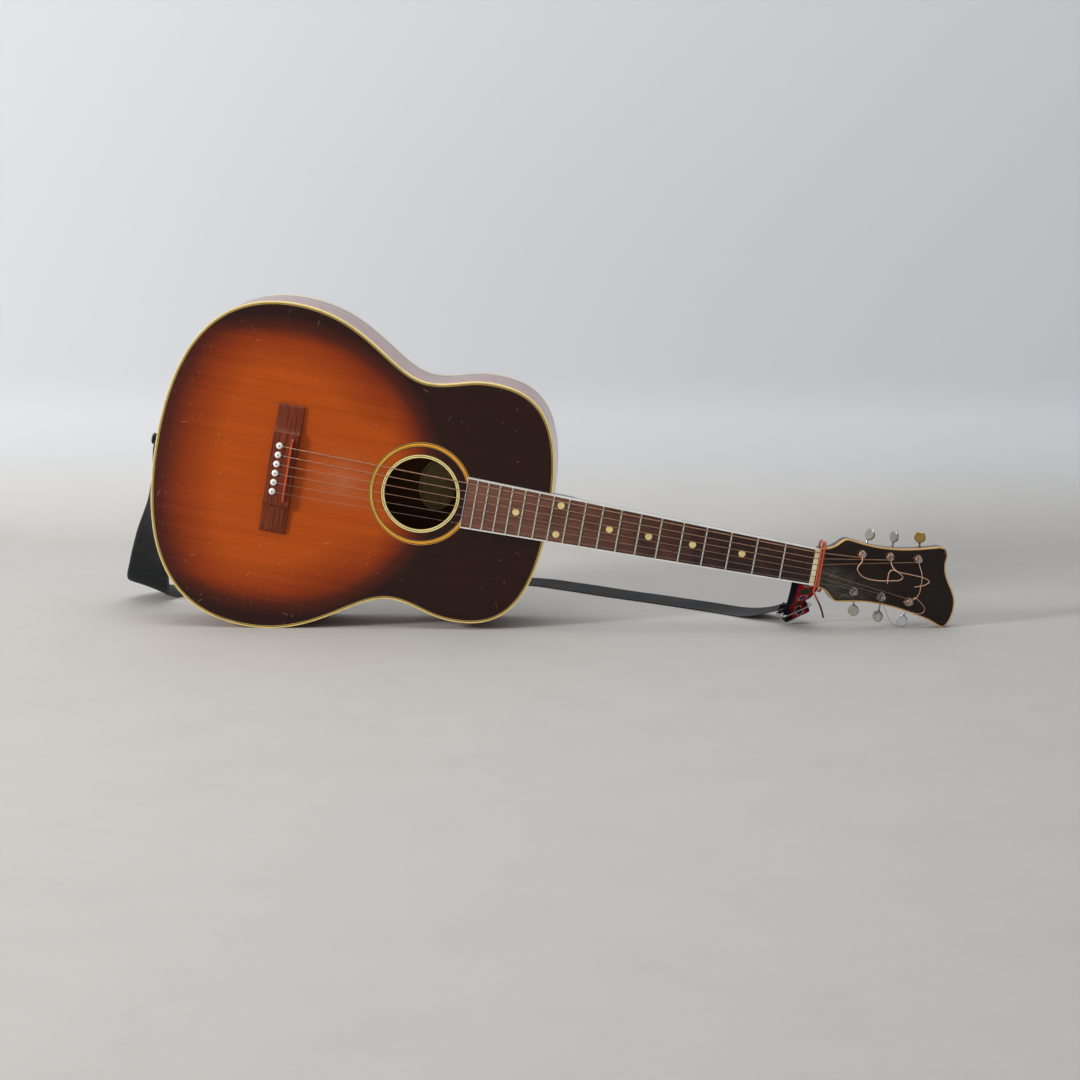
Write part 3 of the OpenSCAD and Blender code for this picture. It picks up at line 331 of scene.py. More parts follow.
def dings_group():
    """Small knocks, and short thin scratches that lie every way; the vector's x and y are used."""
    group, give, take = new_group("Dings", [("Vector", VECTOR, None), ("Size", FLOAT, 90),
                                            ("Amount", FLOAT, 0.3)],
                                  [("Knocks", FLOAT), ("Scratches", FLOAT)])
    cell = put(group, "ShaderNodeTexVoronoi", {"Vector": give["Vector"], "Scale": give["Size"]},
               voronoi_dimensions="2D")
    warp = noise(group, give["Vector"], 900.0, 2.0, 0.5)
    near = plus(group, cell.outputs["Distance"], times(group, warp, 0.1))
    pick = put(group, "ShaderNodeSeparateColor", {0: cell.outputs["Color"]}).outputs
    spot = calc(group, "LESS_THAN", near, calc(group, "MULTIPLY_ADD", pick[1], 0.05, 0.05))
    group.links.new(times(group, spot, calc(group, "LESS_THAN", pick[0], give["Amount"])), take["Knocks"])
    long = put(group, "ShaderNodeTexVoronoi", {"Vector": give["Vector"],
                                               "Scale": times(group, give["Size"], 0.5)},
               voronoi_dimensions="2D")
    draw = put(group, "ShaderNodeSeparateColor", {0: long.outputs["Color"]}).outputs
    away = put(group, "ShaderNodeVectorMath", {0: give["Vector"], 1: long.outputs["Position"]},
               operation="SUBTRACT").outputs[0]
    turned = put(group, "ShaderNodeVectorRotate", {"Vector": away, "Angle": times(group, draw[1], 6.28)},
                 rotation_type="Z_AXIS").outputs[0]
    part = parts(group, turned)
    bow = times(group, calc(group, "MULTIPLY_ADD", draw[2], 60.0, -30.0), times(group, part[0], part[0]))
    thin = calc(group, "LESS_THAN", calc(group, "ABSOLUTE", plus(group, part[1], bow)), 0.00028)
    short = calc(group, "LESS_THAN", calc(group, "ABSOLUTE", part[0]),
                 calc(group, "MULTIPLY_ADD", draw[2], 0.0036, 0.0012))
    hit = times(group, times(group, thin, short), calc(group, "LESS_THAN", draw[0],
                                                       times(group, give["Amount"], 0.17)))
    group.links.new(times(group, hit, plus(group, warp, 0.4), clamp=True), take["Scratches"])
    return group


def weave_group():
    """Threads that cross; the vector is the place along and across the cloth in metres."""
    group, give, take = new_group("Weave", [("Vector", VECTOR, None), ("Along", FLOAT, 700),
                                            ("Across", FLOAT, 900)], [("Height", FLOAT), ("Shade", FLOAT)])
    part = parts(group, give["Vector"])
    one = calc(group, "SINE", times(group, times(group, part[0], give["Along"]), 6.2832))
    two = calc(group, "SINE", times(group, times(group, part[1], give["Across"]), 6.2832))
    cross = plus(group, times(group, times(group, one, two), 0.5), 0.5)
    fuzz = noise(group, give["Vector"], 260.0, 3.0, 0.5)
    group.links.new(cross, take["Height"])
    # Shade is painted shade in the low places between crossing threads, with a fuzzy tone mixed in.
    group.links.new(times(group, plus(group, times(group, cross, 0.4), 0.75),
                          plus(group, times(group, fuzz, 0.7), 0.62)), take["Shade"])
    return group


def dust_group():
    """Dust on what faces up; it takes the surface's normal and place."""
    group, give, take = new_group("Dust", [("Normal", VECTOR, None), ("Vector", VECTOR, None),
                                           ("Amount", FLOAT, 0.3)], [("Mask", FLOAT)])
    up = parts(group, give["Normal"])[2]
    facing = mapped(group, up, 0.15, 0.95)
    cloud = noise(group, give["Vector"], 30.0, 6.0, 0.7)
    patchy = mapped(group, cloud, 0.35, 0.7, 0.3, 1.0)
    group.links.new(times(group, times(group, facing, patchy), give["Amount"]), take["Mask"])
    return group


def tarnish_group():
    """Metal gone dull in patches, with fine pits."""
    group, give, take = new_group("Tarnish", [("Vector", VECTOR, None),
                                              ("Clean", COLOUR, (0.6, 0.6, 0.6, 1)),
                                              ("Dull", COLOUR, (0.2, 0.15, 0.1, 1)), ("Amount", FLOAT, 0.4)],
                                  [("Color", COLOUR), ("Roughness", FLOAT), ("Height", FLOAT)])
    cloud = noise(group, give["Vector"], 220.0, 6.0, 0.65)
    pits = noise(group, give["Vector"], 1400.0, 2.0, 0.5)
    edge = minus(group, 0.78, times(group, give["Amount"], 0.5))
    mask = mapped(group, cloud, edge, plus(group, edge, 0.16))
    mask = calc(group, "MINIMUM", plus(group, mask, times(group, calc(group, "GREATER_THAN", pits, 0.66),
                                                          0.6)), 1.0)
    group.links.new(blend(group, mask, give["Clean"], give["Dull"]), take["Color"])
    group.links.new(plus(group, times(group, mask, 0.3), 0.22), take["Roughness"])
    group.links.new(minus(group, cloud, times(group, pits, 0.3)), take["Height"])
    return group


def plastic_group():
    """Aged plastic: uneven colour, and dirt in its low places."""
    group, give, take = new_group("Aged plastic", [("Vector", VECTOR, None),
                                                   ("Fresh", COLOUR, (0.8, 0.7, 0.4, 1)),
                                                   ("Dirt", COLOUR, (0.12, 0.07, 0.03, 1)),
                                                   ("Amount", FLOAT, 0.3)],
                                  [("Color", COLOUR), ("Roughness", FLOAT), ("Height", FLOAT)])
    wide = noise(group, give["Vector"], 45.0, 5.0, 0.5)
    fine = noise(group, give["Vector"], 700.0, 4.0, 0.5)
    mask = mapped(group, wide, 0.45, 0.8, 0.0, give["Amount"])
    speck = times(group, calc(group, "GREATER_THAN", fine, 0.67), give["Amount"])
    both = calc(group, "MINIMUM", plus(group, mask, speck), 1.0)
    group.links.new(blend(group, both, give["Fresh"], give["Dirt"]), take["Color"])
    group.links.new(plus(group, times(group, wide, 0.3), 0.22), take["Roughness"])
    group.links.new(fine, take["Height"])
    return group


GROUP_MAKERS = {"Wood grain": grain_group, "Dings": dings_group, "Weave": weave_group, "Dust": dust_group,
                "Tarnish": tarnish_group, "Aged plastic": plastic_group}


def effect(tree, name, inputs):
    """Places a shared effect, which is built the first time."""
    group = bpy.data.node_groups.get(name) or GROUP_MAKERS[name]()
    given = {k: (*v, 1) if isinstance(v, (tuple, Color)) else v for k, v in inputs.items()}
    return put(tree, "ShaderNodeGroup", given, node_tree=group).outputs


def grain(tree, vector, wood, along, across, depth):
    return effect(tree, "Wood grain", {"Vector": vector, "Wood": wood, "Along": along, "Across": across,
                                       "Depth": depth})


def dings(tree, vector, size, amount):
    return effect(tree, "Dings", {"Vector": vector, "Size": size, "Amount": amount})


class Look:
    """One material: a shader with its plain settings, to which maps are joined."""

    def __init__(self, name, **settings):
        self.material = bpy.data.materials.new(name)
        self.material.use_nodes = True
        self.tree = self.material.node_tree
        self.shader = self.tree.nodes["Principled BSDF"]
        settings.setdefault("Specular_IOR_Level", 0.3)
        for key, value in settings.items():
            self.shader.inputs[key.replace("_", " ")].default_value = value

    def place(self, space=GUITAR):
        """The place on the surface in the guitar's or the head's frame, or in the packed one."""
        coords = put(self.tree, "ShaderNodeTexCoord").outputs["Object"]
        if space is None:
            return coords
        back = space.inverted()
        return put(self.tree, "ShaderNodeMapping", {"Vector": coords, "Location": back.to_translation(),
                                                    "Rotation": back.to_euler()}).outputs[0]

    def value(self, name, output="Fac"):
        return put(self.tree, "ShaderNodeAttribute", attribute_name=name).outputs[output]

    def aged(self, fresh, dirt, amount, bump=0.1):
        """Aged plastic of this colour, with its relief joined."""
        out = effect(self.tree, "Aged plastic", {"Vector": self.place(), "Fresh": fresh, "Dirt": dirt,
                                                 "Amount": amount})
        self.relief(out["Height"], 0.0001, bump)
        return out

    def join(self, socket, source):
        self.tree.links.new(source, self.shader.inputs[socket])

    def relief(self, height, depth=0.0002, strength=0.4):
        bump = put(self.tree, "ShaderNodeBump", {"Height": height, "Distance": depth, "Strength": strength})
        self.join("Normal", bump.outputs[0])

    def settle_dust(self, colour, vector, amount, dust=(0.42, 0.39, 0.35)):
        normal = put(self.tree, "ShaderNodeNewGeometry").outputs["Normal"]
        mask = effect(self.tree, "Dust", {"Normal": normal, "Vector": vector, "Amount": amount})["Mask"]
        return blend(self.tree, mask, colour, dust)


def metal_look(name, clean, amount):
    look = Look(name, Metallic=1.0, Specular_IOR_Level=0.5)
    vector = look.place()
    out = effect(look.tree, "Tarnish", {"Vector": vector, "Clean": clean,
                                        "Dull": tuple(bpy.context.scene.metal_look.tarnish),
                                        "Amount": amount})
    look.join("Base Color", look.settle_dust(out["Color"], vector, 0.12))
    look.join("Roughness", out["Roughness"])
    look.relief(out["Height"], 0.0001, 0.25)
    return look.material


def plastic_look(name, fresh, amount, dirt=srgb(70, 48, 30)):
    look = Look(name, Coat_Weight=0.15)
    out = look.aged(fresh, dirt, amount, 0.15)
    look.join("Base Color", look.settle_dust(out["Color"], look.place(), 0.15))
    look.join("Roughness", out["Roughness"])
    return look.material


def wood_look(name, wood, along, across, roughness, coat, dust):
    look = Look(name, Roughness=roughness, Coat_Weight=coat, Coat_Roughness=0.12)
    vector = look.place()
    out = grain(look.tree, vector, wood, along, across, 0.25)
    look.join("Base Color", look.settle_dust(out["Color"], vector, dust))
    look.relief(out["Height"], 0.0002, 0.3)
    return look.material


# Shapes ---------------------------------------------------------------------------------------
def bezier(a, b, c, d, steps):
    out = []
    for i in range(steps):
        t = i / steps
        s = 1 - t
        out.append(tuple(s ** 3 * p + 3 * s * s * t * q + 3 * s * t * t * r + t ** 3 * w for p, q, r,
                         w in zip(a, b, c, d)))
    return out


def body_outline(steps=48):
    """The body's outline, anticlockwise from the middle of the neck end."""
    half = (bezier((-317, 0), (-317, 122), (-358, 145.5), (-410, 145.5), steps)
            + bezier((-410, 145.5), (-442, 145.5), (-457, 132.5), (-485, 132.5), steps)
            + bezier((-485, 132.5), (-531, 132.5), (-567, 197), (-655, 197), steps)
            + bezier((-655, 197), (-737, 197), (-795, 144), (-795, 0), steps))
    return half + [(-795, 0)] + [(x, -y) for x, y in reversed(half) if y > 0]


def head_outline(steps=14):
    """The head's outline, anticlockwise from the nut's treble side."""
    side = (bezier((-1, 22.8), (12, 24), (17, 27), (22, 32), steps)
            + bezier((22, 32), (27, 37), (29, 38.6), (34, 38.4), steps)
            + bezier((34, 38.4), (46, 37), (58, 34.4), (75, 34.2), steps)
            + bezier((75, 34.2), (104, 34), (124, 39), (148, 44.6), steps))
    end = (bezier((148, -44.6), (158, -47), (163, -51), (171, -52.6), steps)
           + bezier((171, -52.6), (180, -50), (185, -26), (178, -12), 2 * steps)
           + bezier((178, -12), (173, -1), (160, 10), (159.5, 26), 2 * steps)
           + bezier((159.5, 26), (160, 32), (163, 44), (148, 44.6), steps))
    return [(u, -v) for u, v in side] + end + [(148, 44.6)] + side[::-1]


def inset(points, distance, closed=True):
    """Moves every corner of an anticlockwise outline inwards."""
    out = []
    count = len(points)
    for i, point in enumerate(points):
        before = points[i - 1] if closed or i else None
        after = points[(i + 1) % count] if closed or i < count - 1 else None
        here = Vector(point)
        a = (here - Vector(before)).normalized() if before else None
        b = (Vector(after) - here).normalized() if after else None
        a, b = a or b, b or a
        middle = (a + b).normalized()
        out.append(tuple(here + Vector((-middle.y, middle.x)) * distance / max(middle.dot(b), 0.5)))
    return out


def between(a, b, t):
    return ((1 - t) * a[0] + t * b[0], (1 - t) * a[1] + t * b[1])


def bitten(points, chip, seed):
    """The outline without the part inside the chip's circle, with a splintered edge there."""
    u, v, radius = chip
    inside = [math.hypot(p[0] - u, p[1] - v) < radius for p in points]
    first = next(i for i in range(len(points)) if inside[i] and not inside[i - 1])
    last = next(i for i in range(first,
                                 first + len(points)) if inside[i % len(points)] and not inside[(
                                     i + 1) % len(points)])
    start = points[first - 1]
    end = points[(last + 1) % len(points)]
    a0 = math.atan2(start[1] - v, start[0] - u)
    a1 = math.atan2(end[1] - v, end[0] - u)
    middle = math.atan2(-26, -40)
    while a1 > a0:
        a1 -= 2 * math.pi
    if not (a1 < middle < a0 or a1 < middle - 2 * math.pi < a0):
        a1 += 2 * math.pi
    rough = random.Random(seed)
    steps = 16
    arc = []
    for i in range(steps + 1):
        angle = a0 + (a1 - a0) * i / steps
        reach = radius * (1 + rough.uniform(-0.12, 0.06))
        arc.append((u + reach * math.cos(angle), v + reach * math.sin(angle)))
    count = len(points)
    rest = [points[i % count] for i in range(last + 1, first + count)]
    return arc, rest


def rounded(radius):
    """A quarter round, as distances in from the outer face and from the top one."""
    return [(radius * (1 - math.cos(a)), radius * (1 - math.sin(a))) for a in (0, 0.39, 0.79, 1.18, 1.57)]


def smooth_route(points, steps):
    """A Catmull-Rom curve through every point."""
    out = []
    last = len(points) - 1
    pts = [Vector(p) for p in points]
    for i in range(last):
        p0, p1, p2, p3 = pts[max(i - 1, 0)], pts[i], pts[i + 1], pts[min(i + 2, last)]
        for j in range(steps):
            t = j / steps
            out.append(0.5 * (2 * p1 + (p2 - p0) * t + (2 * p0 - 5 * p1 + 4 * p2 - p3) * t * t + (
                3 * p1 - p0 - 3 * p2 + p3) * t ** 3))
    return out + [pts[last]]


def eased(points, reach):
    """The corners of a route rounded over this distance each side."""
    pts = [Vector(p) for p in points]
    out = [pts[0]]
    for before, here, after in zip(pts, pts[1:], pts[2:]):
        a = here + (before - here).normalized() * min(reach, (before - here).length / 2)
        b = here + (after - here).normalized() * min(reach, (after - here).length / 2)
        out += [a * (1 - t) ** 2 + here * 2 * t * (1 - t) + b * t * t for t in (0, 0.25, 0.5, 0.75, 1)]
    return out + [pts[-1]]


class Shape:
    """A mesh being made: corners in millimetres, faces, and values to carry on the corners."""

    def __init__(self):
        self.corners = []
        self.faces = []
        self.run = []
        self.shade = []

    def add(self, corner, run=(0, 0), shade=0.0):
        self.corners.append(tuple(corner))
        self.run.append((run[0], run[1], 0))
        self.shade.append(shade)
        return len(self.corners) - 1

    def loft(self, rings, closed=True, caps=(True, True)):
        """Joins rings of corner numbers that follow one another."""
        for one, two in zip(rings, rings[1:]):
            count = len(one)
            for j in range(count if closed else count - 1):
                k = (j + 1) % count
                self.faces.append((one[j], one[k], two[k], two[j]))
        if caps[0]:
            self.faces.append(tuple(reversed(rings[0])))
        if caps[1]:
            self.faces.append(tuple(rings[-1]))

    def tube(self, points, radius, sides=10):
        pts = [Vector(p) for p in points]
        rings = []
        side = None
        run = 0.0
        for i, point in enumerate(pts):
            ahead = (pts[min(i + 1, len(pts) - 1)] - pts[max(i - 1, 0)]).normalized()
            if side is None:
                side = ahead.cross(Vector((0, 0, 1)) if abs(ahead.z) < 0.9 else Vector((1, 0, 0)))
            side = (side - ahead * side.dot(ahead)).normalized()
            other = ahead.cross(side)
            if i:
                run += (point - pts[i - 1]).length
            ring = []
            for j in range(sides):
                angle = 2 * math.pi * j / sides
                ring.append(self.add(point + radius * (math.cos(angle) * side + math.sin(angle) * other),
                                     (run * MM, angle * radius * MM), run * MM))
            rings.append(ring)
        self.loft(rings)
        return run

    def lathe(self, profile, centre=(0, 0), sides=32):
        """Turns a profile of radius and height about the z axis; it starts and ends on the axis."""
        first = self.add((*centre, profile[0][1]), (0, 0), 0)
        rings = []
        for radius, height in profile[1:-1]:
            rings.append([self.add((centre[0] + radius * math.cos(2 * math.pi * j / sides),
                                    centre[1] + radius * math.sin(2 * math.pi * j / sides), height),
                                   (radius * MM, height * MM), radius) for j in range(sides)])
        last = self.add((*centre, profile[-1][1]), (0, 0), 0)
        self.loft(rings, caps=(False, False))
        for j in range(sides):
            k = (j + 1) % sides
            self.faces.append((first, rings[0][k], rings[0][j]))
            self.faces.append((last, rings[-1][j], rings[-1][k]))

    def sweep(self, path, profile, closed=True):
        """Carries a closed profile of inset and height along an anticlockwise outline."""
        layers = {d: inset(path, d, closed) for d in sorted({p[0] for p in profile})}
        run = 0.0
        rings = []
        for i in range(len(path)):
            if i:
                run += math.dist(path[i], path[i - 1])
            around = 0.0
            ring = []
            for j, (d, z) in enumerate(profile):
                if j:
                    around += math.dist(profile[j], profile[j - 1])
                ring.append(self.add((*layers[d][i], z), (run * MM, around * MM), d))
            rings.append(ring)
        if closed:
            rings.append(rings[0])
        self.loft(rings, caps=(not closed, not closed))

    def field(self, rows, height, shades=None, closed=True):
        """Joins rows of flat places at one height; their shades, if any, follow one another."""
        self.loft([[self.add((*p, height), (p[0] * MM, p[1] * MM),
                             float(next(shades)) if shades else 0) for p in row] for row in rows], closed,
                  (False, False))

    def prism(self, outline, low, high, bevel):
        """A plate with its top edge rounded."""
        rings = []
        for d, z in ((0, low), (0, high - bevel), (bevel * 0.3, high - bevel * 0.3), (bevel, high)):
            layer = inset(outline, d) if d else outline
            run = 0.0
            ring = []
            for i, p in enumerate(layer):
                run += math.dist(layer[i], layer[i - 1]) if i else 0
                ring.append(self.add((*p, z), (run * MM, z * MM), d))
            rings.append(ring)
        self.loft(rings)

    def finish(self, name, material, slot, body="guitar", space=GUITAR, replaced=(), angle=38):
        mesh = bpy.data.meshes.new(name)
        mesh.from_pydata([tuple(space @ (Vector(corner) * MM)) for corner in self.corners], [], self.faces)
        run = mesh.attributes.new("run", "FLOAT_VECTOR", "POINT")
        run.data.foreach_set("vector", np.array(self.run, np.float32).ravel())
        shade = mesh.attributes.new("shade", "FLOAT", "POINT")
        shade.data.foreach_set("value", np.array(self.shade, np.float32))
        work = bmesh.new()
        work.from_mesh(mesh)
        bmesh.ops.recalc_face_normals(work, faces=work.faces)
        work.to_mesh(mesh)
        work.free()
        mesh.shade_smooth()
        mesh.set_sharp_from_angle(angle=math.radians(angle))
        mesh.materials.append(material)
        piece = bpy.data.objects.new(name, mesh)
        bpy.context.scene.collection.objects.link(piece)
        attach(piece, body)
        if replaced:
            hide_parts(*replaced)
        return piece


def paint(node, material):
    """Gives a packed node its finished material."""
    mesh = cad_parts[node].data
    mesh.materials.clear()
    mesh.materials.append(material)


# Places that more than one piece needs ---------------------------------------------------------
def board_w(x):
    return BOARD_NUT_W + (BOARD_END_W - BOARD_NUT_W) * x / BOARD_END_X


def row_side(k):
    return 1 if k < 3 else -1


def head_to_guitar(p):
    u, v, h = p
    c, s = math.cos(HEAD_TILT), math.sin(HEAD_TILT)
    return (NUT_T + u * c + h * s, v, FACE_Z - u * s + h * c)


def string_tangent(k):
    """Where a string meets its post's coil, in the head's frame."""
    radius = STRING_D[k] / 2
    side = row_side(k)
    place = Vector(POSTS[k])
    start = Vector((0, (2.5 - k) * NUT_PITCH))
    off = POST_R + COIL_AIR + radius
    way = place - start
    lean = -side * math.asin(off / way.length)
    turned = Vector((way.x * math.cos(lean) - way.y * math.sin(lean),
                     way.x * math.sin(lean) + way.y * math.cos(lean))) / way.length
    reach = way.length * math.cos(lean)
    return start + turned * reach


def hole_point(k, y, h):
    angle = math.radians(-row_side(k) * TUNER_TURN[k])
    return (POSTS[k][0] - y * math.sin(angle), POSTS[k][1] + y * math.cos(angle), h)


TIE_ROUTE = [
    (24.5, -58, 6), (21, -50, 6.5), (17, -43, 7), (11, -35, 7.5), (7.6, -29.5, 8.5), (7.3, -24, 10),
    (7.7, -16, 10.7), (7.2, 4, 10.8), (6.8, 20, 10.7), (6.8, 27, 9), (6.5, 31, 5), (6, 32, -2),
    (5.5, 30, -12),
    (5.5, 23, -21), (7, 10, -24.6), (9, -4, -25.2), (12, -14, -26), (15.5, -21.5, -26.5), (17, -28.5, -21),
    (16, -29.5, -11), (14, -29, -2), (12, -27.5, 5), (11, -22, 10), (10.6, -8, 10.5), (10.2, 8, 10.5),
    (10.2, 20, 10.3), (10.4, 27, 8), (10.5, 30, 2), (10.5, 29, -9), (11, 23.5, -19), (12, 12, -24.6),
    (13.5, 2, -24.8)]
TIE_D = 2.4

SLIDER_AT = Vector((-13.5, 50, 18))
SLIDER_YAW = math.radians(26)
SLIDER_LEAN = math.radians(19)
SLIDER_L = 38
SLIDER_PITCH = 11
WIRE_R = 1.4
STRAP_T = 2
WOVEN_W = 33
WOVEN_T = 1.6
SLIDER_ALONG = Vector((math.cos(SLIDER_LEAN) * math.cos(SLIDER_YAW),
                       math.cos(SLIDER_LEAN) * math.sin(SLIDER_YAW),
                       math.sin(SLIDER_LEAN)))
SLIDER_BACK = Vector((-math.sin(SLIDER_YAW), math.cos(SLIDER_YAW), 0))
SLIDER_UP = SLIDER_ALONG.cross(SLIDER_BACK)


def at_slider(back, up):
    return tuple(SLIDER_AT + back * SLIDER_BACK + up * SLIDER_UP)


def wrap(bar, thickness, degrees):
    reach = WIRE_R + 0.3 + thickness / 2
    angle = math.radians(degrees)
    return at_slider(bar + reach * math.sin(angle), reach * math.cos(angle))


PIN_AT = (TAIL_X * math.cos(REST_SLOPE), BODY_D / 2, REST_Z - TAIL_X * math.sin(REST_SLOPE))


def from_pin(x, y, z):
    return (PIN_AT[0] + x, PIN_AT[1] + y, PIN_AT[2] + z)


STRAP_ROUTE = [
    (from_pin(-4.1, 0, 9.5), (0, 1, 0), 28), (from_pin(-5.6, 0.3, 0), (0, 1, 0), 34),
    (from_pin(-7.3, 1, -9), (0, 1, 0), 42), (from_pin(-14.3, 13, -50), (-0.2, 1, 0), 50),
    (from_pin(-22.3, 45, -93), (-0.4, 0.9, 0), 50),
    ((PIN_AT[0] - 30, PIN_AT[1] + 76, 86), (-0.9, 0.5, 0.05), 50),
    ((PIN_AT[0] - 40, PIN_AT[1] + 106, 46), (-1, 0.2, 0.15), 53),
    ((PIN_AT[0] - 44.3, PIN_AT[1] + 126, 20), (-1, 0.1, 0.3), 56),
    ((PIN_AT[0] - 34, PIN_AT[1] + 152, 10), (-0.75, 0.6, 0.25), 54),
    ((PIN_AT[0] - 9, PIN_AT[1] + 188, 4), (-0.3, 1, 0.05), 50), ((-740, 284, 2), (-0.3, 1, 0), 50),
    ((-650, 316, 1.2), (-0.2, 1, 0), 50), ((-550, 338, 1.2), (0, 1, 0), 50),
    ((-450, 346, 1.2), (0.2, 1, 0), 50), ((-350, 327, 1.2), (0.45, 1, 0), 50),
    ((-300, 296, 1.2), (0.6, 1, 0), 50), ((-245, 253, 1.2), (0.65, 1, 0), 50),
    ((-186, 210, 1.2), (0.65, 1, 0), 50), ((-128, 166, 1.2), (0.65, 1, 0), 50),
    ((-90, 134, 1.6), (0.7, 1, 0), 50), ((-62, 104, 6), (0.8, 0.85, 0.15), 44),
    ((-41, 84, 14), (0.85, 0.6, 0.28), 37),
    *[(wrap(2 * SLIDER_PITCH, STRAP_T, a), tuple(SLIDER_ALONG), WOVEN_W) for a in (0, -45, -90, -135, -180)]]
WOVEN_ROUTE = [
    ((1, 20.7, 94), (1, 0, -0.17), WOVEN_W), ((0.5, 20.7, 82), (1, 0, -0.17), WOVEN_W),
    ((-1.8, 21.2, 70), (1, 0, -0.17), WOVEN_W), ((-6, 24, 57), (1, 0.05, -0.08), WOVEN_W),
    ((-9.2, 31.5, 44), (0.97, 0.2, 0.08), WOVEN_W), ((-13, 44, 32), (0.93, 0.35, 0.22), WOVEN_W),
    *[(at_slider(back, up), tuple(SLIDER_ALONG), WOVEN_W)
      for back, up in ((5.5, 6), (5.2, 0), (4.6, -5), (6, -9), (9.5, -9.8), (12.5, -7.5), (14.4, -4.6))]]

END_ROUTES = [
    [(51, 16.5, 10), (48.5, 12, 11.5), (46, 7, 12.5), (49, 2, 12.5), (55, -2, 12.5), (64, -4, 12.5),
     (77, -4, 12.5), (92, -2, 12.5), (101, 0, 13), (104, 4, 13.5), (101, 7, 14), (95, 10, 13.5),
     (90, 11, 13),
     (87, 9, 12.6), (86, 4, 12.2), (87, -6, 11.8)],
    [(87.5, 18.5, 10), (89, 14.5, 13.5), (93, 11.5, 17), (100, 10, 18), (108, 9.5, 18), (116, 9, 18),
     (126, 8, 18), (134, 6, 18), (136, 3, 18), (131, -1, 18), (125, -3, 18), (119, -5, 18)],
    [(123.5, 20.5, 9), (125, 16, 11.5), (127, 11, 13.5), (128, 4, 15), (128, -4, 15), (128, -11, 15),
     (126, -17, 15), (122, -21, 15), (116, -24, 15), (110, -25, 15)],
    [(123.4, -22.3, 8.5), (123.6, -20, 10.5), (126, -19, 12), (131, -22, 13), (136, -26, 13), (140, -31, 12),
     (138, -36, 11), (132, -38, 10), (126, -37, 9)],
    [(87.4, -32, 8.5), (91, -37, 9.5), (96, -45, 9), (102, -52, 8), (109, -56, 7), (114, -58, 6)],
    [(47, -28.5, 8), (42, -27.5, 9.5), (37, -27, 10), (34, -28.5, 10), (32, -32, 9.5)]]


class MakerOperator:
    """What the operators share."""
    bl_options = {"REGISTER", "UNDO"}


